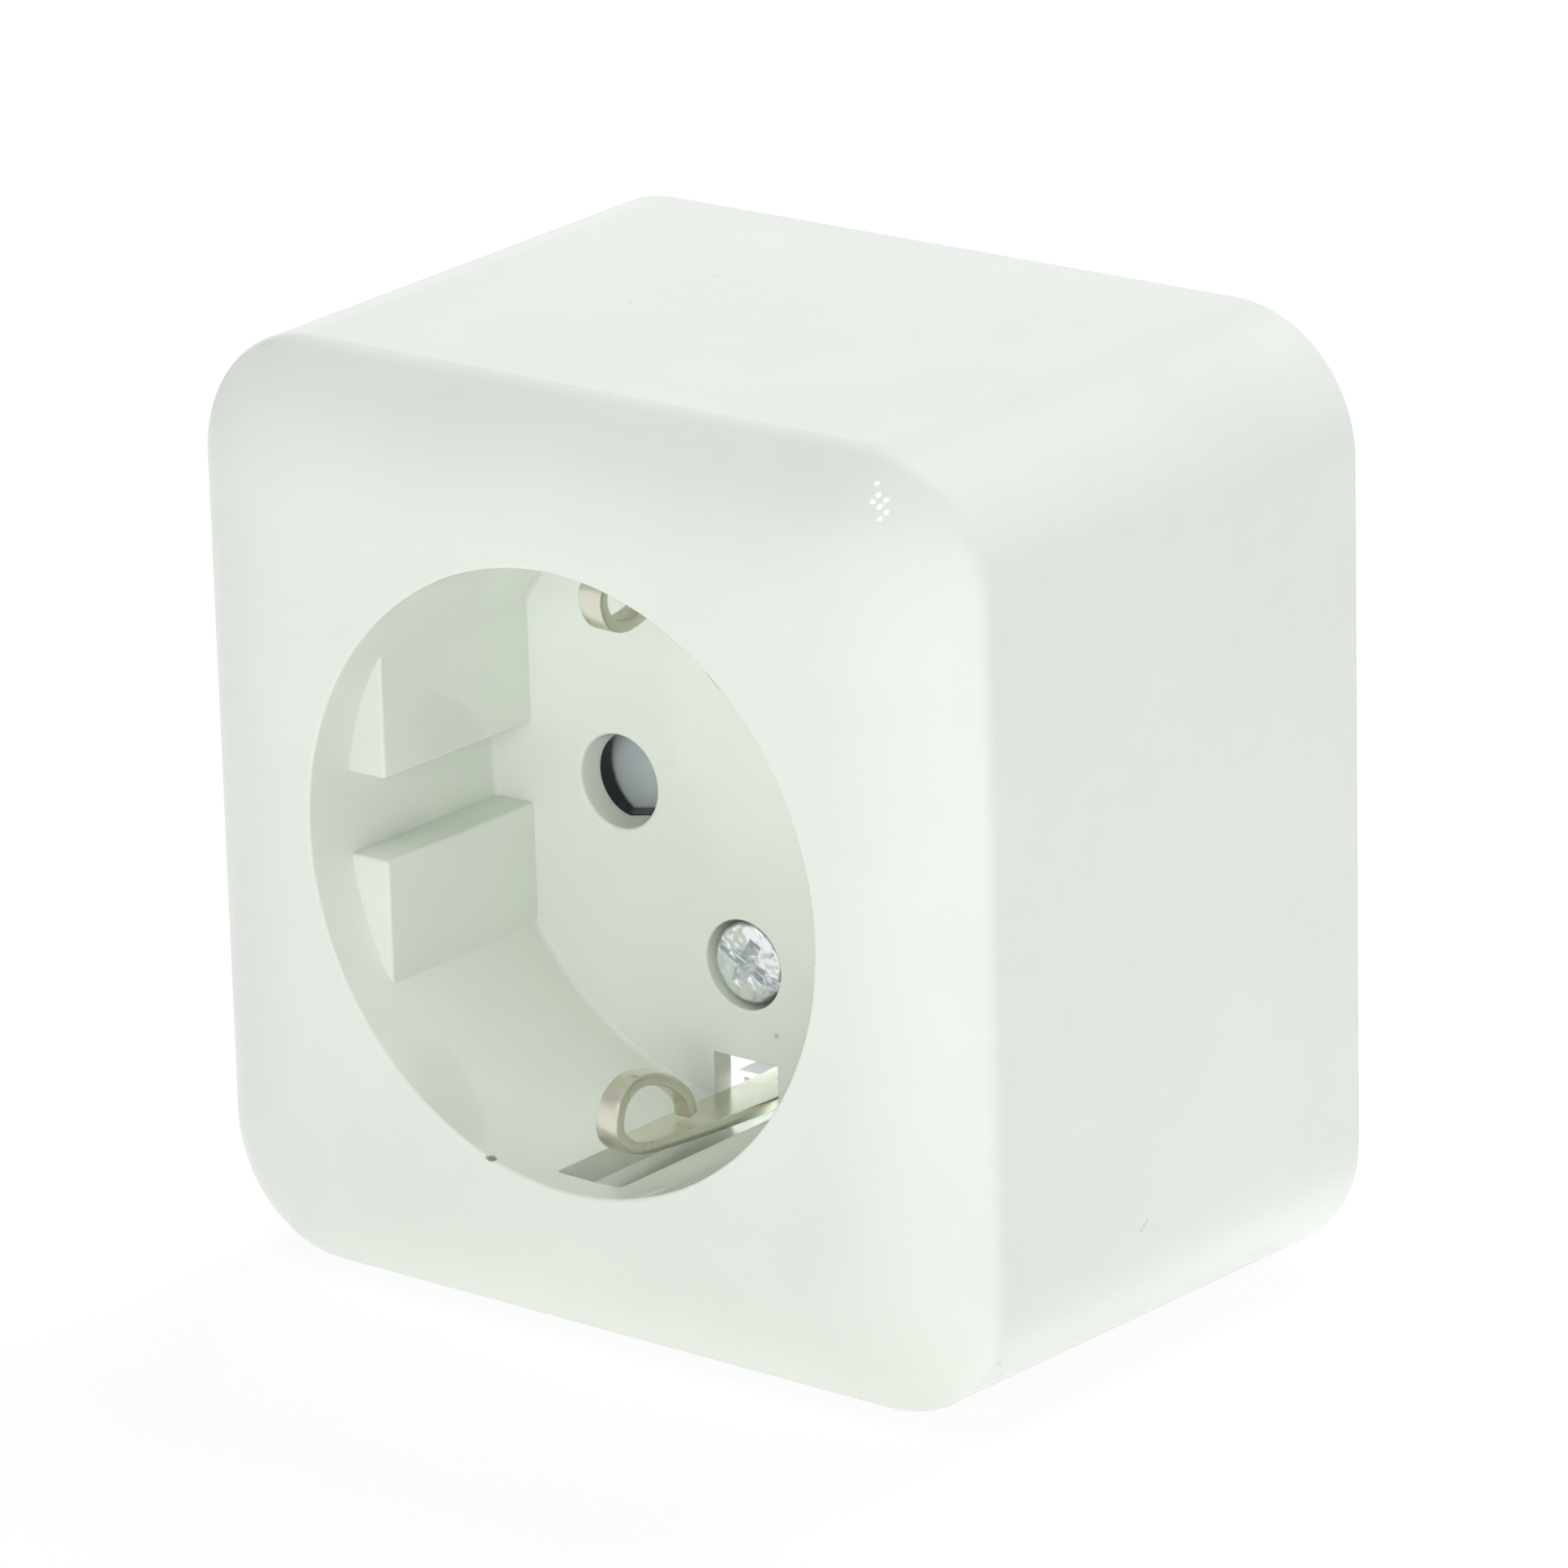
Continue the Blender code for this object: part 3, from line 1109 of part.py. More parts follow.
def make_terminals():
    """The clamps, screws and nuts of the two line terminals and the earth terminal."""
    seat = CLAMP_BACK_Y - CLAMP_THICKNESS - GAP
    tip = NUT_BACK_Y - GAP
    head_radius, head, shank = TERMINAL_HEAD_RADIUS, TERMINAL_HEAD, SCREW_RADIUS
    for side, name in ((-1, "left"), (1, "right")):
        x = side * TERMINAL_X
        make_nut(name + "_terminal_nut", side)
        make_clamp(name + "_terminal_clamp", x, 0.0, CLAMP_BACK_Y)
        make_screw(name + "_terminal_screw", x, 0.0, head_radius, head, shank, seat, tip)
    x, z = EARTH_SCREW_X, EARTH_SCREW_Z
    make_clamp("earth_terminal_clamp", x, z, EARTH_CLAMP_BACK_Y)
    seat = EARTH_CLAMP_BACK_Y - CLAMP_THICKNESS - GAP
    make_screw("earth_terminal_screw", x, z, head_radius, head, shank, seat, WEB_BACK_Y - GAP)


def make_fixings():
    """The screws that hold the cover and the contact block, and the cover screws' inserts."""
    head_radius, head, shank = SCREW_HOLE_RADIUS - GAP, COVER_SCREW_HEAD, SCREW_RADIUS
    seat = COVER_HEAD_BACK_Y
    tip = seat + COVER_SCREW_LENGTH
    for end, name in ((-1, "lower"), (1, "upper")):
        z = end * SCREW_Z
        turn = end * COVER_SCREW_TURN
        make_screw(name + "_cover_screw", 0.0, z, head_radius, head, shank, seat, tip, ROUND_STEPS, turn)
        make_insert(name + "_screw_insert", end * SCREW_Z)
    head_radius, head, shank = BLOCK_SCREW_HEAD_RADIUS, BLOCK_SCREW_HEAD, BLOCK_SCREW_RADIUS
    seat = EAR_FRONT_Y - GAP
    tip = -BLOCK_SCREW_FLOOR - GAP
    for side, name in ((-1, "left"), (1, "right")):
        make_screw(name + "_block_screw", side * EAR_X, -side * EAR_Z, head_radius, head, shank, seat, tip)


def main():
    """Model every piece of the socket."""
    make_cover()
    make_base_plate()
    make_contact_block()
    make_shutter_carrier()
    make_shutter()
    make_shutter_pin()
    make_shutter_spring()
    make_earth_strip()
    for side, name in ((-1, "left"), (1, "right")):
        make_contact(name + "_contact", side)
        make_contact_spring(name + "_contact_spring", side)
    make_terminals()
    make_fixings()


clear_scene()
PARTS = new_collection("surface_mounted_socket")
CUTTERS = new_collection("cutters")
main()
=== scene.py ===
"""Looks of the surface mounted socket: fine meshes, a material for every piece, light and camera.

Metres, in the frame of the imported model: +X right, +Y into the wall, +Z up, origin on the wall face.
"""

import json
import math

import bmesh
import bpy
from mathutils import Matrix, Vector

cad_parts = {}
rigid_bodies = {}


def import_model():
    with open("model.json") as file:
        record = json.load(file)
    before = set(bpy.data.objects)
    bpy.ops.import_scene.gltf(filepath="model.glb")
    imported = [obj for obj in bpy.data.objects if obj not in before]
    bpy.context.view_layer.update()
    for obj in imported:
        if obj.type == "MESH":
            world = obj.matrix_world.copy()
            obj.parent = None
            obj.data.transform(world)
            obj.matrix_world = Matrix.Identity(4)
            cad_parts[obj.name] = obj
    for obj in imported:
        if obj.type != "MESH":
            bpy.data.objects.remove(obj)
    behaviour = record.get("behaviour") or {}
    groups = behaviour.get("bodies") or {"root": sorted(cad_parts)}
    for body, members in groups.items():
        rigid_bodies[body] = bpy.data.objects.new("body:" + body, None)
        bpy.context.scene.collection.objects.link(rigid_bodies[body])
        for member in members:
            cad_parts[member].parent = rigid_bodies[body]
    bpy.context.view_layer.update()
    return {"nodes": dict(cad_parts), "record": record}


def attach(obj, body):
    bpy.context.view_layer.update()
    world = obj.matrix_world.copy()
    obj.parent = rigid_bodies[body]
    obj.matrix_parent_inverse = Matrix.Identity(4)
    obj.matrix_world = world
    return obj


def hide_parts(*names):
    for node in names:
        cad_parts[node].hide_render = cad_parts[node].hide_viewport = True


# Housing
BODY_WIDTH = 0.0612
BODY_HEIGHT = 0.0612
BODY_DEPTH = 0.0394
CORNER_RADIUS = 0.0088
CORNER_SHRINK = 0.6
SIDE_DRAFT = 0.00074
EDGE_RADIUS = 0.0014
DOME_RISE = 0.0037
DOME_WIDTH = 0.0093
COVER_WALL = 0.0020

# Plug recess
RECESS_RADIUS = 0.0195
RECESS_DEPTH = 0.0175
CUP_WALL = 0.0016
FLOOR_THICKNESS = 0.0016
RIM_ROUNDING = 0.0002
FLOOR_FILLET = 0.0004
LAND_CHORD = 0.0164
LAND_START = 0.0036
LAND_ROUNDING = 0.00022
GROOVE_WIDTH = 0.0053

# Holes in the recess floor
PIN_X = 0.0095
PIN_HOLE_RADIUS = 0.0030
PIN_HOLE_MOUTH = 0.00025
PIN_LEDGE = 0.0004
PIN_BACK_RADIUS = 0.00275
PIN_FLAT = 0.00258
PIN_FLAT_TILT = math.radians(11.0)
SCREW_Z = 0.0101
SCREW_HOLE_RADIUS = 0.0029
SCREW_HOLE_MOUTH = 0.00012
SCREW_SHANK_HOLE = 0.0018
BOSS_RADIUS = 0.0041
BOSS_BACK_Y = -0.0160
COUNTERBORE_Y = -0.0191

# Earth slots and channels
SLOT_WIDTH = 0.0050
SLOT_REACH = 0.0033
CHANNEL_DEPTH = 0.0016
CHANNEL_START = 0.0022
CHANNEL_FULL = 0.0047
CHANNEL_WALL = 0.0012
CHANNEL_BACK_STEP = 0.00015
LEG_WALL_GAP = 0.0001

# Inside of the cover
RIB_FRONT_Y = -0.0123
RIB_BACK_Y = -0.0053
RIB_WIDTH = 0.0012
RIB_OFFSET = 0.0105
RIB_REACH = 0.0270
ENTRY_OFFSET = 0.01675
ENTRY_WIDTH = 0.0085
ENTRY_HEIGHT = 0.0130
ENTRY_SKIN = 0.0009

# Earth strip
STRIP_THICKNESS = 0.0008
STRIP_WEB_WIDTH = 0.0112
STRIP_LEG_WIDTH = 0.0036
STRIP_BEND = 0.0012
STRIP_EDGE = 0.00013
WEB_Y = -0.0027
LEG_Z = 0.0190
EARTH_TAB_END = 0.0166
EARTH_TAB_LOW = 0.0096
EARTH_TAB_HIGH = 0.0164
EARTH_SCREW_X = 0.0128
EARTH_SCREW_Z = 0.0130
COLLAR_RADIUS = 0.0028
COLLAR_FRONT_Y = -0.0046
POST_HOLE_RADIUS = 0.0038

# The clip's middle line in front of its leg: depth in the recess, distance from its wall, and width
CLIP_LINE = (
    (0.0180, 0.00050, 0.0036),
    (0.0122, 0.00074, 0.0032),
    (0.0069, 0.00104, 0.0023),
    (0.0051, 0.00162, 0.0019),
    (0.0043, 0.00280, 0.0017),
    (0.0049, 0.00450, 0.0016),
    (0.0067, 0.00525, 0.0015),
    (0.0092, 0.00450, 0.0014),
    (0.0111, 0.00295, 0.0013),
    (0.0116, 0.00160, 0.0012),
)
UPPER_CLIP_REACH = 0.91

# Cover screws
SCREW_HEAD_RADIUS = 0.0026
SCREW_HEAD_FRONT_Y = -0.0217
SCREW_HEAD_BACK_Y = -0.0194
SCREW_TIP_Y = -0.0104
SCREW_RADIUS = 0.0015
SCREW_TURN = math.radians(63.0)
SCREW_CROWN = 0.00018
SCREW_ROUNDING = 0.00035
DRIVE_WEAR = 0.00012

OVERCUT = 0.0010
FRONT_Y = -BODY_DEPTH
FLOOR_Y = FRONT_Y + RECESS_DEPTH
FLOOR_BACK_Y = FLOOR_Y + FLOOR_THICKNESS
CUP_RADIUS = RECESS_RADIUS + CUP_WALL

# Grooves of the screws' drive: half sizes along X and Z at the opening and at the floor, and depth
DRIVE_SLOT_END = SCREW_HEAD_RADIUS + OVERCUT
DRIVE_GROOVES = (
    ((0.00042, DRIVE_SLOT_END), (0.00036, DRIVE_SLOT_END), 0.0006),
    ((0.00165, 0.00044), (0.00060, 0.00014), 0.0012),
    ((0.00044, 0.00165), (0.00014, 0.00060), 0.0012),
)

# Fineness of the visible shapes
CORNER_STEPS = 20
INNER_CORNER_STEPS = 6
EDGE_STEPS = 8
DOME_STEPS = 20
RECESS_STEPS = 192
HOLE_STEPS = 72
FILLET_STEPS = 5
ARC_STEPS = 10
CLIP_STEPS = 10

# Camera: direction from the socket, roll and the point it looks at, from the recess rim's centre
CAMERA_AZIMUTH = math.radians(38.724)
CAMERA_ELEVATION = math.radians(18.291)
CAMERA_ROLL = math.radians(-1.475)
CAMERA_DISTANCE = 0.5432
CAMERA_TARGET = (0.013582, 0.006103)
FOCAL_PIXELS = 11237.9
IMAGE_PIXELS = 1932
SENSOR = 36.0
CAMERA_NEAR = 0.01
CAMERA_FAR = 20.0

# Brightness of the surroundings from straight down (0) to straight up (1): as light, and as gloss shows it
LIGHT_SKY = ((0.0, 0.1), (0.3, 0.1), (0.60, 0.1), (0.70, 0.0), (1.0, 0.0))
MIRRORED_SKY = ((0.0, 1.0), (0.60, 1.0), (0.78, 0.5), (0.93, 0.6), (1.0, 0.9))

# Where the lamps point
LAMP_TARGET = (0.0, -0.02, 0.0)

# Soft lamps: name, place, size, power, colour and, for the one in the recess's mouth, where it points
SOFTBOXES = (
    ("over_softbox", (0.05, -0.35, 0.75), 0.4, 2.4, (1.0, 1.0, 1.0)),
    ("camera_softbox", (0.34, -0.78, 0.18), 0.4, 2.65, (1.0, 1.0, 0.98)),
    ("back_softbox", (0.0, 0.45, 0.65), 0.5, 5.2, (0.98, 0.99, 1.0)),
    ("right_softbox", (0.78, 0.05, 0.15), 0.3, 0.75, (0.88, 0.95, 1.0)),
    ("recess_fill", (0.010, -0.038, 0.003), 0.008, 0.0004, (1.0, 1.0, 0.93), (-0.017, -0.028, -0.003)),
)

# Small lamps that the upper right corner mirrors: direction from there, and power
GLINTS = (
    ((-0.333, -0.700, 0.632), 0.08),
    ((-0.276, -0.774, 0.569), 0.12),
    ((-0.295, -0.802, 0.519), 0.12),
    ((-0.207, -0.811, 0.548), 0.12),
    ((-0.230, -0.837, 0.497), 0.12),
    ((-0.166, -0.866, 0.471), 0.12),
    ((-0.195, -0.886, 0.420), 0.12),
)
GLINT_CORNER = (0.0235, -0.037, 0.027)
GLINT_DISTANCE = 1.5
GLINT_SIZE = 0.04

# The light that thin walls and the open back let into the housing
INSIDE_PLACE = (-0.0075, -0.0185, -0.0238)
INSIDE_POWER = 0.0075
INSIDE_COLOUR = (0.90, 0.94, 1.0)
INSIDE_SIZE = 0.002

# The floor: its half size, how far it lies under the socket, its own glow and the share that shows as white
FLOOR_HALF_SIZE = 1.5
FLOOR_GAP = 0.00005
FLOOR_GLOW = 0.28
FLOOR_SHOWN_WHITE = 0.85

# Noise in the materials: its scale in each layer, and the strength and heights of the bumps
CLOUD_SCALE = 90.0
GLOSS_SCALE = 220.0
MOULDED_SCALE = 420.0
DIRT_EDGE_SCALE = 3000.0
TARNISH_SCALE = 450.0
METAL_GLOSS_SCALE = 300.0
LINE_SCALE = 2500.0
DENT_SCALE = 1400.0
BUMP_STRENGTH = 0.12
MOULDED_HEIGHT = 0.00002
LINE_HEIGHT = 0.00001
METAL_EDGE = 0.0001
CLOUD_SHADE = 0.965
DIRT_COLOUR = (0.16, 0.14, 0.11)

# Small dirt marks: place, radius, how much each axis is shortened, and strength
DIRT = (
    ((-0.00597, -0.03925, -0.01864), 0.00028, (0.6, 1.0, 1.2), 0.85),
    ((0.00249, -0.02190, -0.01422), 0.00022, (1.0, 1.0, 1.0), 0.35),
    ((0.03014, -0.02200, -0.02080), 0.00016, (1.0, 0.8, 1.0), 0.16),
    ((0.03014, -0.02172, -0.02062), 0.00018, (1.0, 0.8, 1.0), 0.18),
    ((0.03014, -0.02140, -0.02042), 0.00014, (1.0, 0.8, 1.0), 0.16),
    ((0.02882, -0.03453, -0.02555), 0.00026, (0.8, 0.8, 1.4), 0.25),
    ((-0.00898, -0.01992, 0.03018), 0.00030, (1.0, 1.0, 1.0), 0.10),
    ((-0.00825, -0.01271, 0.03033), 0.00045, (0.6, 1.4, 1.0), 0.04),
)


def new_collection(name):
    """A collection linked to the scene."""
    collection = bpy.data.collections.new(name)
    bpy.context.scene.collection.children.link(collection)
    return collection


def mesh_object(name, bm, collection):
    """An object in a collection, from a finished bmesh."""
    bmesh.ops.recalc_face_normals(bm, faces=bm.faces)
    mesh = bpy.data.meshes.new(name)
    bm.to_mesh(mesh)
    bm.free()
    piece = bpy.data.objects.new(name, mesh)
    collection.objects.link(piece)
    return piece


def loft_object(name, rings, collection):
    """A solid through rings of points, closed at both ends."""
    bm = bmesh.new()
    loops = [[bm.verts.new(point) for point in ring] for ring in rings]
    for loop, following in zip(loops, loops[1:]):
        for index in range(len(loop)):
            after = (index + 1) % len(loop)
            bm.faces.new((loop[index], loop[after], following[after], following[index]))
    bm.faces.new(loops[0])
    bm.faces.new(reversed(loops[-1]))
    return mesh_object(name, bm, collection)


def turned_object(name, profile, place, steps, collection):
    """A solid turned about a line along Y through (x, z), from (radius, y) points on its outer side."""
    x, z = place
    bm = bmesh.new()
    rings = []
    for radius, y in profile:
        if radius == 0.0:
            rings.append([bm.verts.new((x, y, z))])
            continue
        turns = [2 * math.pi * step / steps for step in range(steps)]
        circle = [(x + radius * math.cos(turn), y, z + radius * math.sin(turn)) for turn in turns]
        rings.append([bm.verts.new(point) for point in circle])
    for ring, following in zip(rings, rings[1:]):
        for index in range(steps):
            after = (index + 1) % steps
            corners = [ring[index % len(ring)], ring[after % len(ring)]]
            corners += [following[after % len(following)], following[index % len(following)]]
            unique = list(dict.fromkeys(corners))
            if len(unique) > 2:
                bm.faces.new(unique)
    return mesh_object(name, bm, collection)


def box_objects(name, corners, collection, rounding=0.0):
    """Boxes in one mesh, each from its low to its high corner, with rounded edges if asked."""
    bm = bmesh.new()
    for low, high in corners:
        low, high = Vector(low), Vector(high)
        size = Matrix.Diagonal((*(high - low), 1.0))
        bmesh.ops.create_cube(bm, size=1.0, matrix=Matrix.Translation((low + high) / 2) @ size)
    if rounding:
        bmesh.ops.bevel(bm, geom=bm.edges[:], offset=rounding, segments=4, profile=0.5, affect="EDGES")
    return mesh_object(name, bm, collection)


def prism_object(name, outline, low, high, axis, collection):
    """A solid from a closed outline, between two places along X or Y."""
    if axis == "X":
        ends = [[(place, u, v) for u, v in outline] for place in (low, high)]
    else:
        ends = [[(u, place, v) for u, v in outline] for place in (low, high)]
    return loft_object(name, ends, collection)


def combine(piece, operation, *tools):
    """Join other shapes to a piece or cut them out of it."""
    for tool in tools:
        modifier = piece.modifiers.new(tool.name, "BOOLEAN")
        modifier.operation = operation
        modifier.object = tool
    return piece


def baked(piece):
    """The piece with its modifiers turned into plain mesh."""
    evaluated = piece.evaluated_get(bpy.context.evaluated_depsgraph_get())
    mesh = bpy.data.meshes.new_from_object(evaluated)
    piece.modifiers.clear()
    piece.data = mesh
    return piece


def remove_tools():
    """Delete the shapes that only served as cutters."""
    for tool in list(TOOLS.objects):
        bpy.data.objects.remove(tool)


def smooth(piece, angle=28.0):
    """Smooth shading with creases above an angle, and normals that keep flat faces flat."""
    piece.data.shade_smooth()
    piece.data.set_sharp_from_angle(angle=math.radians(angle))
    weighted = piece.modifiers.new("flat_faces", "WEIGHTED_NORMAL")
    weighted.keep_sharp = True
    weighted.weight = 90
    return piece


def rounded_rectangle(half_width, half_height, radius, steps):
    """(u, v) points round a rectangle with rounded corners."""
    outline = []
    for quarter in range(4):
        side_u = 1 if quarter in (0, 3) else -1
        side_v = 1 if quarter < 2 else -1
        centre = (side_u * (half_width - radius), side_v * (half_height - radius))
        for step in range(steps + 1):
            angle = math.pi / 2 * (quarter + step / steps)
            outline.append((centre[0] + radius * math.cos(angle), centre[1] + radius * math.sin(angle)))
    return outline


def body_ring(inset, y, steps):
    """The housing's outline, drawn in from its side."""
    radius = CORNER_RADIUS - CORNER_SHRINK * inset
    outline = rounded_rectangle(BODY_WIDTH / 2 - inset, BODY_HEIGHT / 2 - inset, radius, steps)
    return [(u, y, v) for u, v in outline]


def body_profile(inside, dome_steps, edge_steps):
    """(depth from the front, inset) along the housing's outer or inner surface."""
    dome_angle = 2 * math.atan2(DOME_RISE, DOME_WIDTH)
    dome_radius = DOME_WIDTH / math.sin(dome_angle)
    edge = max(EDGE_RADIUS, inside)
    reach = DOME_WIDTH - edge
    turn = math.asin(reach / (dome_radius - edge))
    edge_depth = dome_radius - math.sqrt((dome_radius - edge) ** 2 - reach ** 2)
    rounding = edge - inside
    profile = [(BODY_DEPTH, inside)]
    steps = edge_steps if rounding > 0 else 0
    for step in range(steps + 1):
        angle = math.pi / 2 + (turn - math.pi / 2) * step / max(steps, 1)
        depth = edge_depth - rounding * math.cos(angle)
        profile.append((depth, SIDE_DRAFT + edge - rounding * math.sin(angle)))
    for step in range(1, dome_steps + 1):
        angle = turn * (1 - step / dome_steps)
        depth = dome_radius - (dome_radius - inside) * math.cos(angle)
        profile.append((depth, SIDE_DRAFT + DOME_WIDTH - (dome_radius - inside) * math.sin(angle)))
    return profile


def make_shell():
    """The hollow housing without its recess."""
    profile = body_profile(0.0, DOME_STEPS, EDGE_STEPS)
    outer = [body_ring(inset, depth + FRONT_Y, CORNER_STEPS) for depth, inset in profile]
    shell = loft_object("cover_shell", outer, PIECES)
    profile = body_profile(COVER_WALL, EDGE_STEPS, 0)
    inner = [body_ring(inset, depth + FRONT_Y, INNER_CORNER_STEPS) for depth, inset in profile]
    inner.insert(0, body_ring(COVER_WALL, OVERCUT, INNER_CORNER_STEPS))
    return combine(shell, "DIFFERENCE", loft_object("cavity", inner, TOOLS))


def recess_tool():
    """The plug recess as a cutter, with a rounded rim and floor edge and the guide lands left standing."""
    profile = [(0.0, FLOOR_Y)]
    for step in range(FILLET_STEPS + 1):
        angle = math.pi / 2 * step / FILLET_STEPS
        inset = FLOOR_FILLET * (1 - math.sin(angle))
        profile.append((RECESS_RADIUS - inset, FLOOR_Y - FLOOR_FILLET * (1 - math.cos(angle))))
    for step in range(FILLET_STEPS + 1):
        angle = math.pi / 2 * step / FILLET_STEPS
        spread = RIM_ROUNDING * (1 - math.cos(angle))
        profile.append((RECESS_RADIUS + spread, FRONT_Y + RIM_ROUNDING * (1 - math.sin(angle))))
    profile += [(RECESS_RADIUS + RIM_ROUNDING, FRONT_Y - OVERCUT), (0.0, FRONT_Y - OVERCUT)]
    recess = turned_object("recess", profile, (0.0, 0.0), RECESS_STEPS, TOOLS)
    lands = []
    for side in (-1, 1):
        for end in (-1, 1):
            across = sorted((side * LAND_CHORD, side * (RECESS_RADIUS + OVERCUT)))
            along = sorted((end * GROOVE_WIDTH / 2, end * RECESS_RADIUS))
            low = (across[0], FRONT_Y + LAND_START, along[0])
            lands.append((low, (across[1], FLOOR_Y + OVERCUT, along[1])))
    return combine(recess, "DIFFERENCE", box_objects("lands", lands, TOOLS, LAND_ROUNDING))


def channel_tool(end):
    """One earth slot with the channel in the recess wall that leads to it."""
    wall = RECESS_RADIUS + CHANNEL_DEPTH
    outline = (
        (FRONT_Y + CHANNEL_START, end * (RECESS_RADIUS - SLOT_REACH)),
        (FRONT_Y + CHANNEL_START, end * (RECESS_RADIUS - LEG_WALL_GAP)),
        (FRONT_Y + CHANNEL_FULL, end * wall),
        (FLOOR_BACK_Y + OVERCUT, end * wall),
        (FLOOR_BACK_Y + OVERCUT, end * (RECESS_RADIUS - SLOT_REACH)),
    )
    return prism_object("channel", outline, -SLOT_WIDTH / 2, SLOT_WIDTH / 2, "X", TOOLS)


def pin_hole_tool(side):
    """A pin hole that narrows from its soft round mouth to a back outline with a flat."""
    front = [(radius, y) for radius, y in mouth_profile(PIN_HOLE_RADIUS, PIN_HOLE_MOUTH)[:-1]]
    flat_at = -math.pi / 2 + PIN_FLAT_TILT + (math.pi if side > 0 else 0.0)
    rings = []
    for radius, y in [(0.0, FLOOR_BACK_Y + OVERCUT), (0.0, FLOOR_BACK_Y - PIN_LEDGE), *front]:
        ring = []
        for step in range(HOLE_STEPS):
            angle = 2 * math.pi * step / HOLE_STEPS
            toward_flat = max(math.cos(angle - flat_at), 0.01)
            reach = radius or min(PIN_BACK_RADIUS, PIN_FLAT / toward_flat)
            ring.append((side * PIN_X + reach * math.cos(angle), y, reach * math.sin(angle)))
        rings.append(ring)
    return loft_object("pin_hole", rings, TOOLS)


def mouth_profile(radius, rounding):
    """The rounded mouth of a hole in the recess floor, as profile points that run out to the front."""
    profile = []
    for step in range(FILLET_STEPS + 1):
        angle = math.pi / 2 * step / FILLET_STEPS
        spread = rounding * (1 - math.cos(angle))
        profile.append((radius + spread, FLOOR_Y + rounding * (1 - math.sin(angle))))
    return profile + [(radius + rounding, FLOOR_Y - OVERCUT), (0.0, FLOOR_Y - OVERCUT)]


def screw_hole_tool(end):
    """The stepped hole for a cover screw."""
    back = BOSS_BACK_Y + OVERCUT
    profile = [(0.0, back), (SCREW_SHANK_HOLE, back), (SCREW_SHANK_HOLE, COUNTERBORE_Y)]
    profile += [(SCREW_HOLE_RADIUS, COUNTERBORE_Y), *mouth_profile(SCREW_HOLE_RADIUS, SCREW_HOLE_MOUTH)]
    return turned_object("screw_hole", profile, (0.0, end * SCREW_Z), HOLE_STEPS, TOOLS)


def inner_joins():
    """The cup, channel backs, screw bosses and stop ribs that join the shell inside."""
    front = FRONT_Y + COVER_WALL / 2
    profile = ((0.0, FLOOR_BACK_Y), (CUP_RADIUS, FLOOR_BACK_Y), (CUP_RADIUS, front), (0.0, front))
    cup = turned_object("cup", profile, (0.0, 0.0), RECESS_STEPS, TOOLS)
    half = SLOT_WIDTH / 2 + CHANNEL_WALL
    reach = RECESS_RADIUS + CHANNEL_DEPTH + CHANNEL_WALL
    back = FLOOR_BACK_Y - CHANNEL_BACK_STEP
    near = RECESS_RADIUS - FLOOR_THICKNESS
    bulges = [((-half, front, near), (half, back, reach)), ((-half, front, -reach), (half, back, -near))]
    joins = [cup, box_objects("bulges", bulges, TOOLS)]
    start = FLOOR_BACK_Y - FLOOR_THICKNESS / 2
    profile = ((0.0, BOSS_BACK_Y), (BOSS_RADIUS, BOSS_BACK_Y), (BOSS_RADIUS, start), (0.0, start))
    joins += [turned_object("boss", profile, (0.0, end * SCREW_Z), HOLE_STEPS, TOOLS) for end in (-1, 1)]
    ribs = []
    for side in (-1, 1):
        reach = sorted((side * RIB_REACH, side * (BODY_WIDTH / 2 - COVER_WALL / 2)))
        for offset in (-RIB_OFFSET, RIB_OFFSET):
            near, far = offset - RIB_WIDTH / 2, offset + RIB_WIDTH / 2
            ribs.append(((reach[0], RIB_FRONT_Y, near), (reach[1], RIB_BACK_Y, far)))
            ribs.append(((near, RIB_FRONT_Y, reach[0]), (far, RIB_BACK_Y, reach[1])))
    return [*joins, box_objects("ribs", ribs, TOOLS)]


def breakout_tool():
    """The pockets that thin the wall over each cable entry."""
    pockets = []
    for side in (-1, 1):
        for end in (-1, 1):
            near, far = ENTRY_OFFSET - ENTRY_WIDTH / 2, ENTRY_OFFSET + ENTRY_WIDTH / 2
            across = sorted((side * near, side * far))
            inner = BODY_HEIGHT / 2 - COVER_WALL - OVERCUT
            up = sorted((end * inner, end * (BODY_HEIGHT / 2 - ENTRY_SKIN)))
            pockets.append(((across[0], -ENTRY_HEIGHT, up[0]), (across[1], OVERCUT, up[1])))
    return box_objects("breakouts", pockets, TOOLS)


def make_cover():
    """The cover, finely enough for its soft edges to show."""
    cover = make_shell()
    combine(cover, "UNION", *inner_joins())
    combine(cover, "DIFFERENCE", baked(recess_tool()), channel_tool(1), channel_tool(-1))
    combine(cover, "DIFFERENCE", pin_hole_tool(-1), pin_hole_tool(1))
    combine(cover, "DIFFERENCE", screw_hole_tool(1), screw_hole_tool(-1), breakout_tool())
    return smooth(baked(cover))


def smooth_line(points, steps):
    """Points along a Catmull-Rom curve through the points given."""
    points = [Vector(point) for point in points]
    padded = [2 * points[0] - points[1], *points, 2 * points[-1] - points[-2]]
    line = []
    for index in range(len(points) - 1):
        before, start, end, after = padded[index:index + 4]
        for step in range(steps):
            t = step / steps
            bend = 2 * before - 5 * start + 4 * end - after
            twist = 3 * start - before - 3 * end + after
            line.append(0.5 * (2 * start + (end - before) * t + bend * t ** 2 + twist * t ** 3))
    line.append(points[-1])
    return line


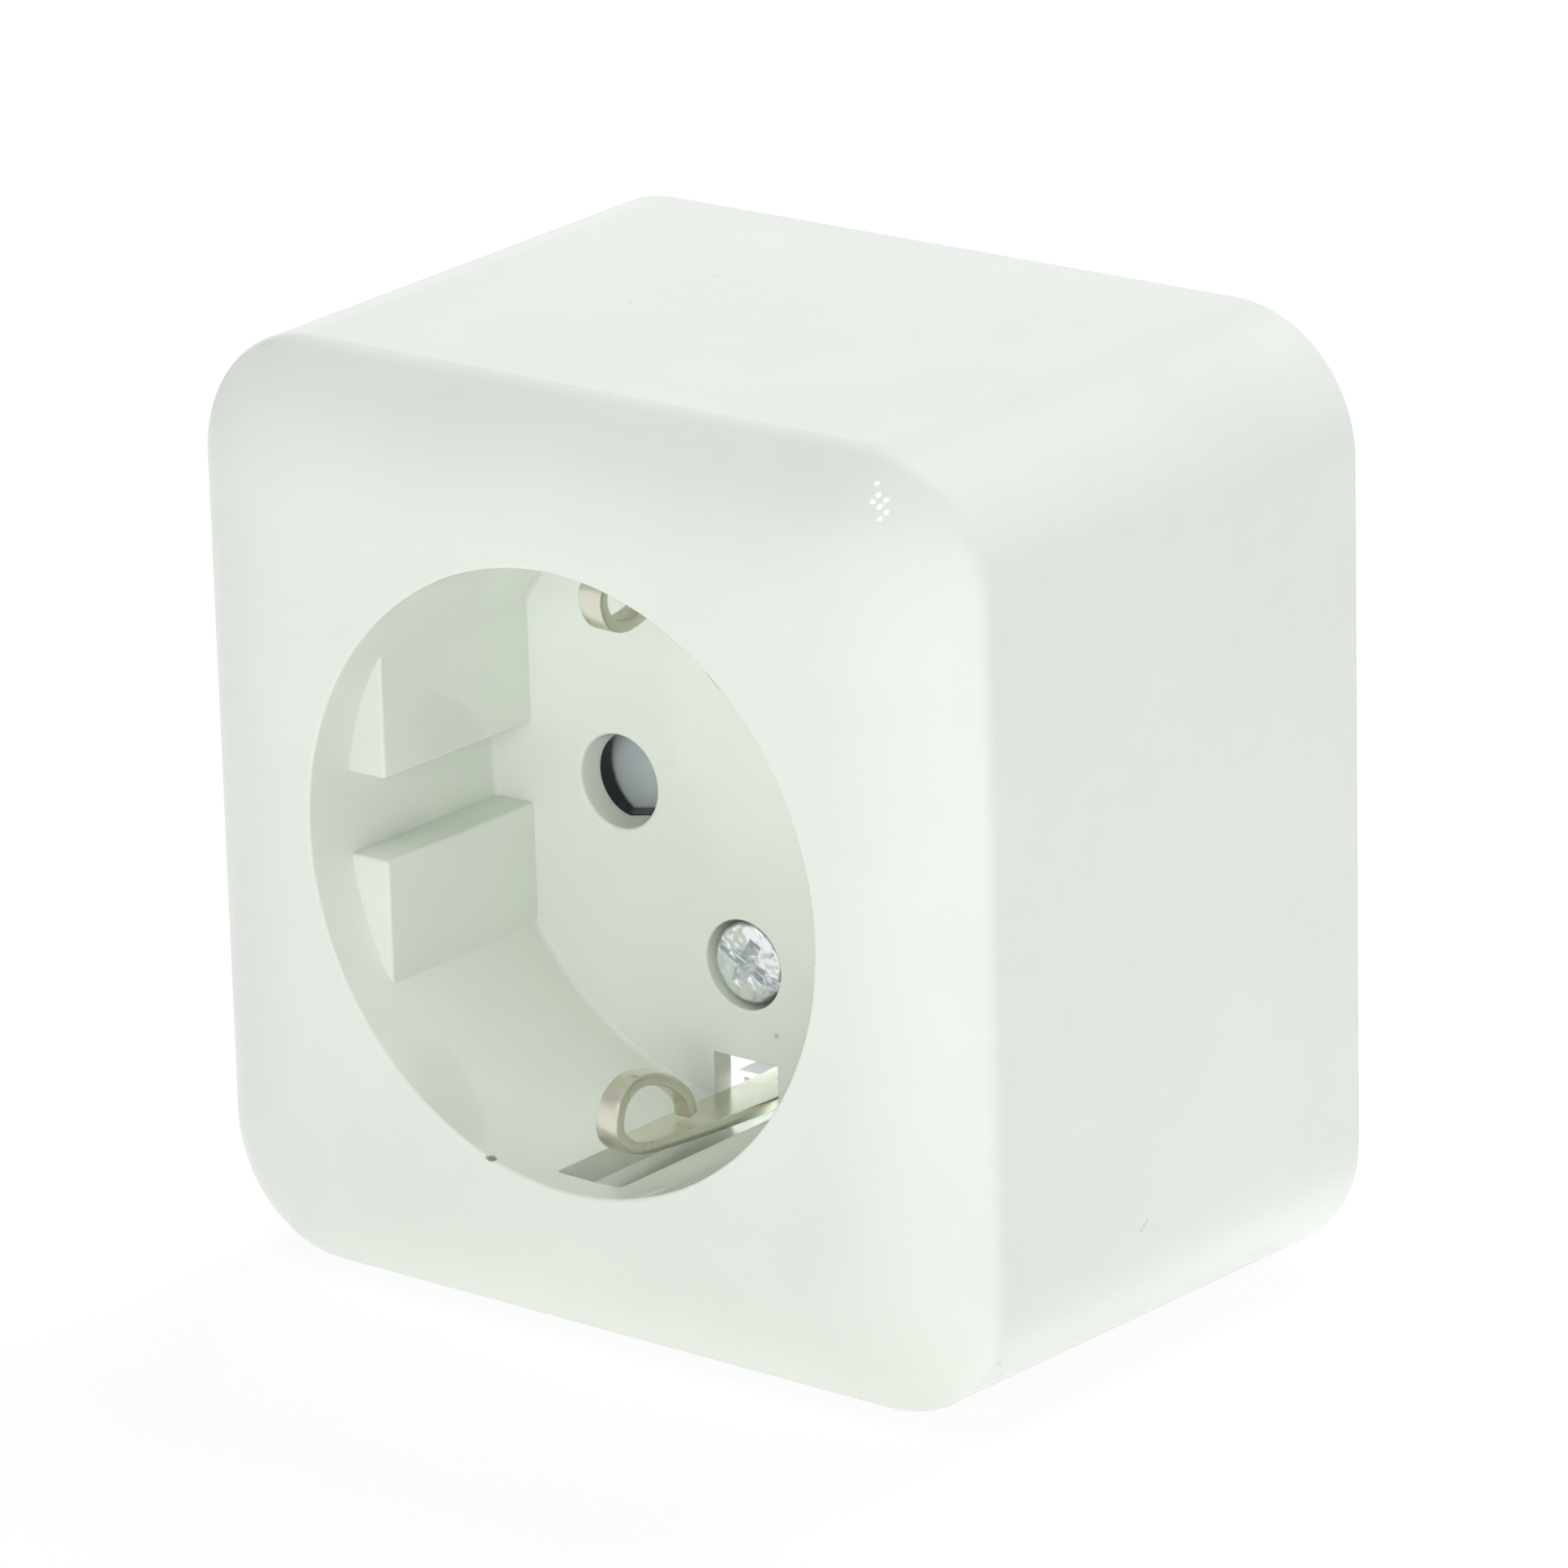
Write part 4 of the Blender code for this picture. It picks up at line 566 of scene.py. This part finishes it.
def strip_stations(reach):
    """(y, z, width) along the earth strip from its middle to a clip's tip, the clip scaled by its reach."""
    wide_end = LEG_Z - STRIP_BEND - STRIP_WEB_WIDTH / 8
    stations = [(WEB_Y, 0.0, STRIP_WEB_WIDTH), (WEB_Y, wide_end - STRIP_WEB_WIDTH / 8, STRIP_WEB_WIDTH)]
    stations.append((WEB_Y, wide_end, (STRIP_WEB_WIDTH + STRIP_LEG_WIDTH) / 2))
    for step in range(ARC_STEPS + 1):
        angle = math.pi / 2 * step / ARC_STEPS
        y = WEB_Y - STRIP_BEND * (1 - math.cos(angle))
        stations.append((y, LEG_Z - STRIP_BEND * (1 - math.sin(angle)), STRIP_LEG_WIDTH))
    leg_inset = CLIP_LINE[0][1]
    line = []
    for depth, inset, width in CLIP_LINE:
        line.append((FRONT_Y + depth, RECESS_RADIUS - leg_inset - (inset - leg_inset) * reach, width))
    return stations + [tuple(point) for point in smooth_line(line, CLIP_STEPS)]


def strip_section(width, edge):
    """(across, through) points of the strip's section, with rounded edges."""
    return rounded_rectangle(width / 2, STRIP_THICKNESS / 2, edge, 3)


def strip_rings(reach, end):
    """The sections of the earth strip's upper or lower half."""
    stations = strip_stations(reach)
    rings = []
    for index, (y, z, width) in enumerate(stations):
        before = stations[max(index - 1, 0)]
        after = stations[min(index + 1, len(stations) - 1)]
        along = Vector((0.0, after[0] - before[0], after[1] - before[1])).normalized()
        normal = Vector((0.0, -along.z, along.y))
        ring = []
        for across, through in strip_section(width, STRIP_EDGE):
            point = Vector((across, y, z)) + normal * through
            ring.append((point.x, point.y, end * point.z))
        rings.append(ring)
    return rings


def make_strip():
    """The earth strip with its curled clips, its terminal tab and the holes for the posts."""
    upper, lower = strip_rings(UPPER_CLIP_REACH, 1), strip_rings(1.0, -1)
    strip = loft_object("earth_clips", [*reversed(lower), *upper[1:]], PIECES)
    tab_low = (STRIP_WEB_WIDTH / 2 - OVERCUT, WEB_Y - STRIP_THICKNESS / 2, EARTH_TAB_LOW)
    tab_high = (EARTH_TAB_END, WEB_Y + STRIP_THICKNESS / 2, EARTH_TAB_HIGH)
    place = (EARTH_SCREW_X, EARTH_SCREW_Z)
    tab = box_objects("earth_tab", [(tab_low, tab_high)], TOOLS)
    profile = ((0.0, WEB_Y), (COLLAR_RADIUS, WEB_Y), (COLLAR_RADIUS, COLLAR_FRONT_Y), (0.0, COLLAR_FRONT_Y))
    combine(strip, "UNION", tab, turned_object("collar", profile, place, HOLE_STEPS, TOOLS))
    low, high = COLLAR_FRONT_Y - OVERCUT, WEB_Y + OVERCUT
    holes = [(SCREW_SHANK_HOLE, place)]
    holes += [(POST_HOLE_RADIUS, (0.0, end * SCREW_Z)) for end in (1, -1)]
    for radius, at in holes:
        profile = ((0.0, high), (radius, high), (radius, low), (0.0, low))
        combine(strip, "DIFFERENCE", turned_object("strip_hole", profile, at, HOLE_STEPS, TOOLS))
    return smooth(baked(strip))


def groove_object(opening, floor, depth):
    """A cutter for one groove of the drive, with sloping walls and worn edges, from half sizes."""
    rings = []
    for y, size, spread in ((depth, floor, 0.0), (DRIVE_WEAR, opening, 0.0), (0.0, opening, DRIVE_WEAR)):
        half_x, half_z = size[0] + spread, size[1] + spread
        at = SCREW_HEAD_FRONT_Y + y
        corners = ((-half_x, -half_z), (half_x, -half_z), (half_x, half_z), (-half_x, half_z))
        rings.append([(x, at, z) for x, z in corners])
    rings.append([(x, SCREW_HEAD_FRONT_Y - OVERCUT, z) for x, _, z in rings[-1]])
    return loft_object("drive_groove", rings, TOOLS)


def make_cover_screw(name, end):
    """A cover screw with a low domed head, a slot and a cross, turned as it was left."""
    z = end * SCREW_Z
    soft = SCREW_ROUNDING
    profile = [(0.0, SCREW_TIP_Y), (SCREW_RADIUS - soft, SCREW_TIP_Y), (SCREW_RADIUS, SCREW_TIP_Y - soft)]
    profile += [(SCREW_RADIUS, SCREW_HEAD_BACK_Y), (SCREW_HEAD_RADIUS, SCREW_HEAD_BACK_Y)]
    for step in range(FILLET_STEPS + 1):
        angle = math.pi / 2 * step / FILLET_STEPS
        radius = SCREW_HEAD_RADIUS - soft * (1 - math.cos(angle))
        profile.append((radius, SCREW_HEAD_FRONT_Y + SCREW_CROWN + soft * (1 - math.sin(angle))))
    for step in range(1, ARC_STEPS + 1):
        share = 1 - step / ARC_STEPS
        profile.append(((SCREW_HEAD_RADIUS - soft) * share, SCREW_HEAD_FRONT_Y + SCREW_CROWN * share ** 2))
    screw = turned_object(name, profile, (0.0, z), HOLE_STEPS, PIECES)
    for opening, floor, depth in DRIVE_GROOVES:
        groove = groove_object(opening, floor, depth)
        groove.location.z = z
        groove.rotation_euler.y = end * SCREW_TURN
        combine(screw, "DIFFERENCE", groove)
    return smooth(baked(screw))


def node_tree(name):
    """A new material with its tree, shader and output."""
    material = bpy.data.materials.new(name)
    material.use_nodes = True
    tree = material.node_tree
    return material, tree, tree.nodes["Principled BSDF"]


def noise(tree, scale, detail=4.0, roughness=0.55):
    """The value of a noise texture in the piece's own coordinates."""
    place = tree.nodes.new("ShaderNodeTexCoord")
    texture = tree.nodes.new("ShaderNodeTexNoise")
    texture.inputs["Scale"].default_value = scale
    texture.inputs["Detail"].default_value = detail
    texture.inputs["Roughness"].default_value = roughness
    tree.links.new(place.outputs["Object"], texture.inputs["Vector"])
    return texture.outputs["Fac"]


def ranged(tree, value, low, high, start=0.3, end=0.7):
    """A value mapped to lie between two others."""
    node = tree.nodes.new("ShaderNodeMapRange")
    for name, number in (("From Min", start), ("From Max", end), ("To Min", low), ("To Max", high)):
        node.inputs[name].default_value = number
    tree.links.new(value, node.inputs["Value"])
    return node.outputs["Result"]


def mixed(tree, factor, first, second):
    """Two colours, or a colour and another node's colour, mixed by a factor."""
    node = tree.nodes.new("ShaderNodeMix")
    node.data_type = "RGBA"
    tree.links.new(factor, node.inputs["Factor"])
    for name, colour in (("A", first), ("B", second)):
        sockets = [item for item in node.inputs if item.name == name and item.type == "RGBA"]
        if isinstance(colour, tuple):
            sockets[0].default_value = (*colour, 1.0)
        else:
            tree.links.new(colour, sockets[0])
    return [item for item in node.outputs if item.type == "RGBA"][0]


def bumped(tree, height, distance, soft_edge):
    """A bump from a height, over edges that are softened a little."""
    bump = tree.nodes.new("ShaderNodeBump")
    bump.inputs["Strength"].default_value = BUMP_STRENGTH
    bump.inputs["Distance"].default_value = distance
    tree.links.new(height, bump.inputs["Height"])
    bevel = tree.nodes.new("ShaderNodeBevel")
    bevel.samples = 4
    bevel.inputs["Radius"].default_value = soft_edge
    tree.links.new(bevel.outputs["Normal"], bump.inputs["Normal"])
    return bump.outputs["Normal"]


def plastic(name, colour, roughness, soft_edge=0.0001, spots=()):
    """Moulded plastic: faint clouds in the colour, uneven gloss and a fine moulded surface."""
    material, tree, shader = node_tree(name)
    darker = tuple(channel * CLOUD_SHADE for channel in colour)
    tint = mixed(tree, ranged(tree, noise(tree, CLOUD_SCALE), 0.0, 1.0), darker, colour)
    for spot in spots:
        tint = mixed(tree, spot_mask(tree, *spot), tint, DIRT_COLOUR)
    tree.links.new(tint, shader.inputs["Base Color"])
    gloss = ranged(tree, noise(tree, GLOSS_SCALE), roughness * 0.8, roughness * 1.25)
    tree.links.new(gloss, shader.inputs["Roughness"])
    height = noise(tree, MOULDED_SCALE, 3.0)
    tree.links.new(bumped(tree, height, MOULDED_HEIGHT, soft_edge), shader.inputs["Normal"])
    shader.inputs["IOR"].default_value = 1.5
    return material


def spot_mask(tree, place, radius, stretch, strength):
    """The spot's strength inside a small ragged spot at a place, 0 outside."""
    coordinates = tree.nodes.new("ShaderNodeTexCoord")
    away = tree.nodes.new("ShaderNodeVectorMath")
    away.operation = "SUBTRACT"
    away.inputs[1].default_value = place
    tree.links.new(coordinates.outputs["Object"], away.inputs[0])
    scaled = tree.nodes.new("ShaderNodeVectorMath")
    scaled.operation = "MULTIPLY"
    scaled.inputs[1].default_value = stretch
    tree.links.new(away.outputs["Vector"], scaled.inputs[0])
    length = tree.nodes.new("ShaderNodeVectorMath")
    length.operation = "LENGTH"
    tree.links.new(scaled.outputs["Vector"], length.inputs[0])
    ragged = tree.nodes.new("ShaderNodeMath")
    ragged.operation = "MULTIPLY"
    tree.links.new(length.outputs["Value"], ragged.inputs[0])
    tree.links.new(ranged(tree, noise(tree, DIRT_EDGE_SCALE), 0.6, 1.5), ragged.inputs[1])
    return ranged(tree, ragged.outputs["Value"], strength, 0.0, radius * 0.6, radius)


def metal(name, colour, roughness, tarnish, brushed=(1.0, 1.0, 1.0), wear=0.3, chewed=0.0):
    """Plated or bare metal: tarnish in patches, uneven gloss, fine lines or pits, and dents if chewed."""
    material, tree, shader = node_tree(name)
    patches = ranged(tree, noise(tree, TARNISH_SCALE, 2.0), 0.0, wear, 0.45, 0.7)
    tree.links.new(mixed(tree, patches, colour, tarnish), shader.inputs["Base Color"])
    shader.inputs["Metallic"].default_value = 1.0
    gloss = ranged(tree, noise(tree, METAL_GLOSS_SCALE, 1.0), roughness * 0.85, roughness * 1.15)
    tree.links.new(gloss, shader.inputs["Roughness"])
    coordinates = tree.nodes.new("ShaderNodeTexCoord")
    stretched = tree.nodes.new("ShaderNodeVectorMath")
    stretched.operation = "MULTIPLY"
    stretched.inputs[1].default_value = brushed
    tree.links.new(coordinates.outputs["Object"], stretched.inputs[0])
    lines = tree.nodes.new("ShaderNodeTexNoise")
    lines.inputs["Scale"].default_value = LINE_SCALE
    tree.links.new(stretched.outputs["Vector"], lines.inputs["Vector"])
    normal = bumped(tree, lines.outputs["Fac"], LINE_HEIGHT, METAL_EDGE)
    if chewed:
        dents = tree.nodes.new("ShaderNodeBump")
        dents.inputs["Distance"].default_value = chewed
        tree.links.new(noise(tree, DENT_SCALE, 1.0), dents.inputs["Height"])
        tree.links.new(normal, dents.inputs["Normal"])
        normal = dents.outputs["Normal"]
    tree.links.new(normal, shader.inputs["Normal"])
    return material


def make_materials():
    """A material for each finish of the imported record."""
    nickel, dull_nickel = (0.72, 0.70, 0.59), (0.50, 0.47, 0.36)
    brass, dull_brass = (0.78, 0.57, 0.27), (0.45, 0.28, 0.12)
    zinc, dull_zinc = (0.86, 0.89, 0.90), (0.45, 0.46, 0.45)
    steel, dull_steel = (0.55, 0.56, 0.57), (0.35, 0.33, 0.30)
    return {
        "cream": plastic("cream", (0.82, 0.865, 0.80), 0.05, soft_edge=0.00005, spots=DIRT),
        "white": plastic("white", (0.84, 0.85, 0.83), 0.35),
        "thermoset": plastic("thermoset", (0.72, 0.72, 0.68), 0.5),
        "black": plastic("black", (0.02, 0.02, 0.02), 0.35),
        "grey": plastic("grey", (0.62, 0.69, 0.71), 0.38),
        "nickel": metal("nickel", nickel, 0.27, dull_nickel, brushed=(1.0, 0.05, 0.05), wear=0.12),
        "brass": metal("brass", brass, 0.25, dull_brass, brushed=(1.0, 0.1, 0.1)),
        "zinc": metal("zinc", zinc, 0.26, dull_zinc, wear=0.4, chewed=0.0002),
        "spring_steel": metal("spring_steel", steel, 0.3, dull_steel, brushed=(1.0, 1.0, 0.1)),
    }


def set_material(piece, material):
    """Give a piece one material."""
    if not piece.data.materials:
        piece.data.materials.append(None)
    for slot in piece.material_slots:
        slot.link = "OBJECT"
        slot.material = material


def finish_nodes(frame, materials):
    """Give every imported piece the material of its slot."""
    slots = {part["node"]: part["material_slot"] for part in frame["record"]["subparts"]}
    for name, node in frame["nodes"].items():
        set_material(node, materials[slots[name]])


def add_piece(piece, node, slot, materials):
    """Let a fine piece stand for a packed one."""
    set_material(piece, materials[slot])
    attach(piece, "housing")
    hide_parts(node)


def camera_axes():
    """The camera's right, up and backward directions."""
    azimuth, elevation = CAMERA_AZIMUTH, CAMERA_ELEVATION
    cos_el, sin_el = math.cos(elevation), math.sin(elevation)
    back = Vector((math.sin(azimuth) * cos_el, -math.cos(azimuth) * cos_el, sin_el))
    right = Vector((math.cos(azimuth), math.sin(azimuth), 0.0))
    up = Vector((-math.sin(azimuth) * sin_el, math.cos(azimuth) * sin_el, cos_el))
    rolled_right = right * math.cos(CAMERA_ROLL) + up * math.sin(CAMERA_ROLL)
    rolled_up = up * math.cos(CAMERA_ROLL) - right * math.sin(CAMERA_ROLL)
    return rolled_right, rolled_up, back


def add_camera():
    """The camera at the photograph's place."""
    right, up, back = camera_axes()
    centre = Vector((0.0, FRONT_Y, 0.0)) + right * CAMERA_TARGET[0] + up * CAMERA_TARGET[1]
    data = bpy.data.cameras.new("camera")
    data.sensor_width = SENSOR
    data.lens = FOCAL_PIXELS / IMAGE_PIXELS * SENSOR
    data.clip_start = CAMERA_NEAR
    data.clip_end = CAMERA_FAR
    camera = bpy.data.objects.new("camera", data)
    turn = Matrix((right, up, back)).transposed().to_4x4()
    camera.matrix_world = Matrix.Translation(centre + back * CAMERA_DISTANCE) @ turn
    bpy.context.scene.collection.objects.link(camera)
    bpy.context.scene.camera = camera


def add_area(name, place, size, power, colour, target=LAMP_TARGET):
    """A square lamp that points at the socket, or at a place on it."""
    data = bpy.data.lights.new(name, "AREA")
    data.size = size
    data.energy = power
    data.color = colour
    lamp = bpy.data.objects.new(name, data)
    lamp.location = place
    lamp.rotation_euler = (Vector(place) - Vector(target)).to_track_quat("Z", "Y").to_euler()
    bpy.context.scene.collection.objects.link(lamp)
    return lamp


def add_lamps():
    """Soft lamps that gloss doesn't show, small ones that only gloss shows, and light inside the housing."""
    for softbox in SOFTBOXES:
        lamp = add_area(*softbox)
        lamp.visible_glossy = False
        lamp.visible_camera = False
    for number, (direction, power) in enumerate(GLINTS):
        place = Vector(GLINT_CORNER) + Vector(direction) * GLINT_DISTANCE
        add_area("glint_%d" % number, place, GLINT_SIZE, power, (1.0, 1.0, 1.0)).visible_diffuse = False
    data = bpy.data.lights.new("light_through_walls", "POINT")
    data.energy = INSIDE_POWER
    data.color = INSIDE_COLOUR
    data.shadow_soft_size = INSIDE_SIZE
    lamp = bpy.data.objects.new("light_through_walls", data)
    lamp.location = INSIDE_PLACE
    bpy.context.scene.collection.objects.link(lamp)


def ray_share(tree, *names):
    """1 for rays of the kinds named and 0 for the others."""
    path = tree.nodes.new("ShaderNodeLightPath")
    share = path.outputs[names[0]]
    for name in names[1:]:
        either = tree.nodes.new("ShaderNodeMath")
        either.operation = "MAXIMUM"
        tree.links.new(share, either.inputs[0])
        tree.links.new(path.outputs[name], either.inputs[1])
        share = either.outputs["Value"]
    return share


def sky(tree, height, stops):
    """Background light that changes with height."""
    ramp = tree.nodes.new("ShaderNodeValToRGB")
    elements = ramp.color_ramp.elements
    while len(elements) < len(stops):
        elements.new(0.5)
    for element, (position, level) in zip(elements, stops):
        element.position = position
        element.color = (level, level, level, 1.0)
    tree.links.new(height, ramp.inputs["Fac"])
    background = tree.nodes.new("ShaderNodeBackground")
    tree.links.new(ramp.outputs["Color"], background.inputs["Color"])
    return background.outputs["Background"]


def add_world():
    """White to the camera, a white backdrop under a greyer ceiling in reflections, and soft light."""
    world = bpy.data.worlds.new("studio")
    bpy.context.scene.world = world
    world.use_nodes = True
    tree = world.node_tree
    tree.nodes.clear()
    place = tree.nodes.new("ShaderNodeTexCoord")
    split = tree.nodes.new("ShaderNodeSeparateXYZ")
    tree.links.new(place.outputs["Generated"], split.inputs["Vector"])
    height = ranged(tree, split.outputs["Z"], 0.0, 1.0, -1.0, 1.0)
    white = tree.nodes.new("ShaderNodeBackground")
    white.inputs["Color"].default_value = (1.0, 1.0, 1.0, 1.0)
    shown = sky(tree, height, LIGHT_SKY)
    kinds = (
        (("Is Glossy Ray",), sky(tree, height, MIRRORED_SKY)),
        (("Is Camera Ray", "Is Transmission Ray"), white.outputs["Background"]),
    )
    for names, background in kinds:
        choose = tree.nodes.new("ShaderNodeMixShader")
        tree.links.new(ray_share(tree, *names), choose.inputs["Fac"])
        tree.links.new(shown, choose.inputs[1])
        tree.links.new(background, choose.inputs[2])
        shown = choose.outputs["Shader"]
    output = tree.nodes.new("ShaderNodeOutputWorld")
    tree.links.new(shown, output.inputs["Surface"])


def add_floor():
    """A pale floor that shows white with a faint shadow."""
    bm = bmesh.new()
    bmesh.ops.create_grid(bm, x_segments=1, y_segments=1, size=FLOOR_HALF_SIZE)
    floor = mesh_object("floor", bm, bpy.context.scene.collection)
    floor.location.z = -BODY_HEIGHT / 2 - FLOOR_GAP
    material, tree, shader = node_tree("floor")
    shader.inputs["Base Color"].default_value = (0.93, 0.94, 0.93, 1.0)
    shader.inputs["Emission Color"].default_value = (1.0, 1.0, 1.0, 1.0)
    shader.inputs["Emission Strength"].default_value = FLOOR_GLOW
    shader.inputs["Roughness"].default_value = 0.9
    shader.inputs["Specular IOR Level"].default_value = 0.0
    glow = tree.nodes.new("ShaderNodeEmission")
    mix = tree.nodes.new("ShaderNodeMixShader")
    share = tree.nodes.new("ShaderNodeMath")
    share.operation = "MULTIPLY"
    share.inputs[1].default_value = FLOOR_SHOWN_WHITE
    seen = ray_share(tree, "Is Camera Ray", "Is Glossy Ray", "Is Transmission Ray")
    tree.links.new(seen, share.inputs[0])
    tree.links.new(share.outputs["Value"], mix.inputs["Fac"])
    tree.links.new(shader.outputs["BSDF"], mix.inputs[1])
    tree.links.new(glow.outputs["Emission"], mix.inputs[2])
    tree.links.new(mix.outputs["Shader"], tree.nodes["Material Output"].inputs["Surface"])
    floor.data.materials.append(material)


def main():
    """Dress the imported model."""
    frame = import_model()
    materials = make_materials()
    finish_nodes(frame, materials)
    add_piece(make_cover(), "cover", "cream", materials)
    add_piece(make_strip(), "earth_strip", "nickel", materials)
    for name, end in (("lower", -1), ("upper", 1)):
        add_piece(make_cover_screw(name + "_screw", end), name + "_cover_screw", "zinc", materials)
    remove_tools()
    add_camera()
    add_world()
    add_floor()
    add_lamps()
    bpy.context.scene.view_settings.view_transform = "Standard"


# Collections for the fine pieces and for the cutters
PIECES = new_collection("surface_mounted_socket_looks")
TOOLS = new_collection("tools")
main()
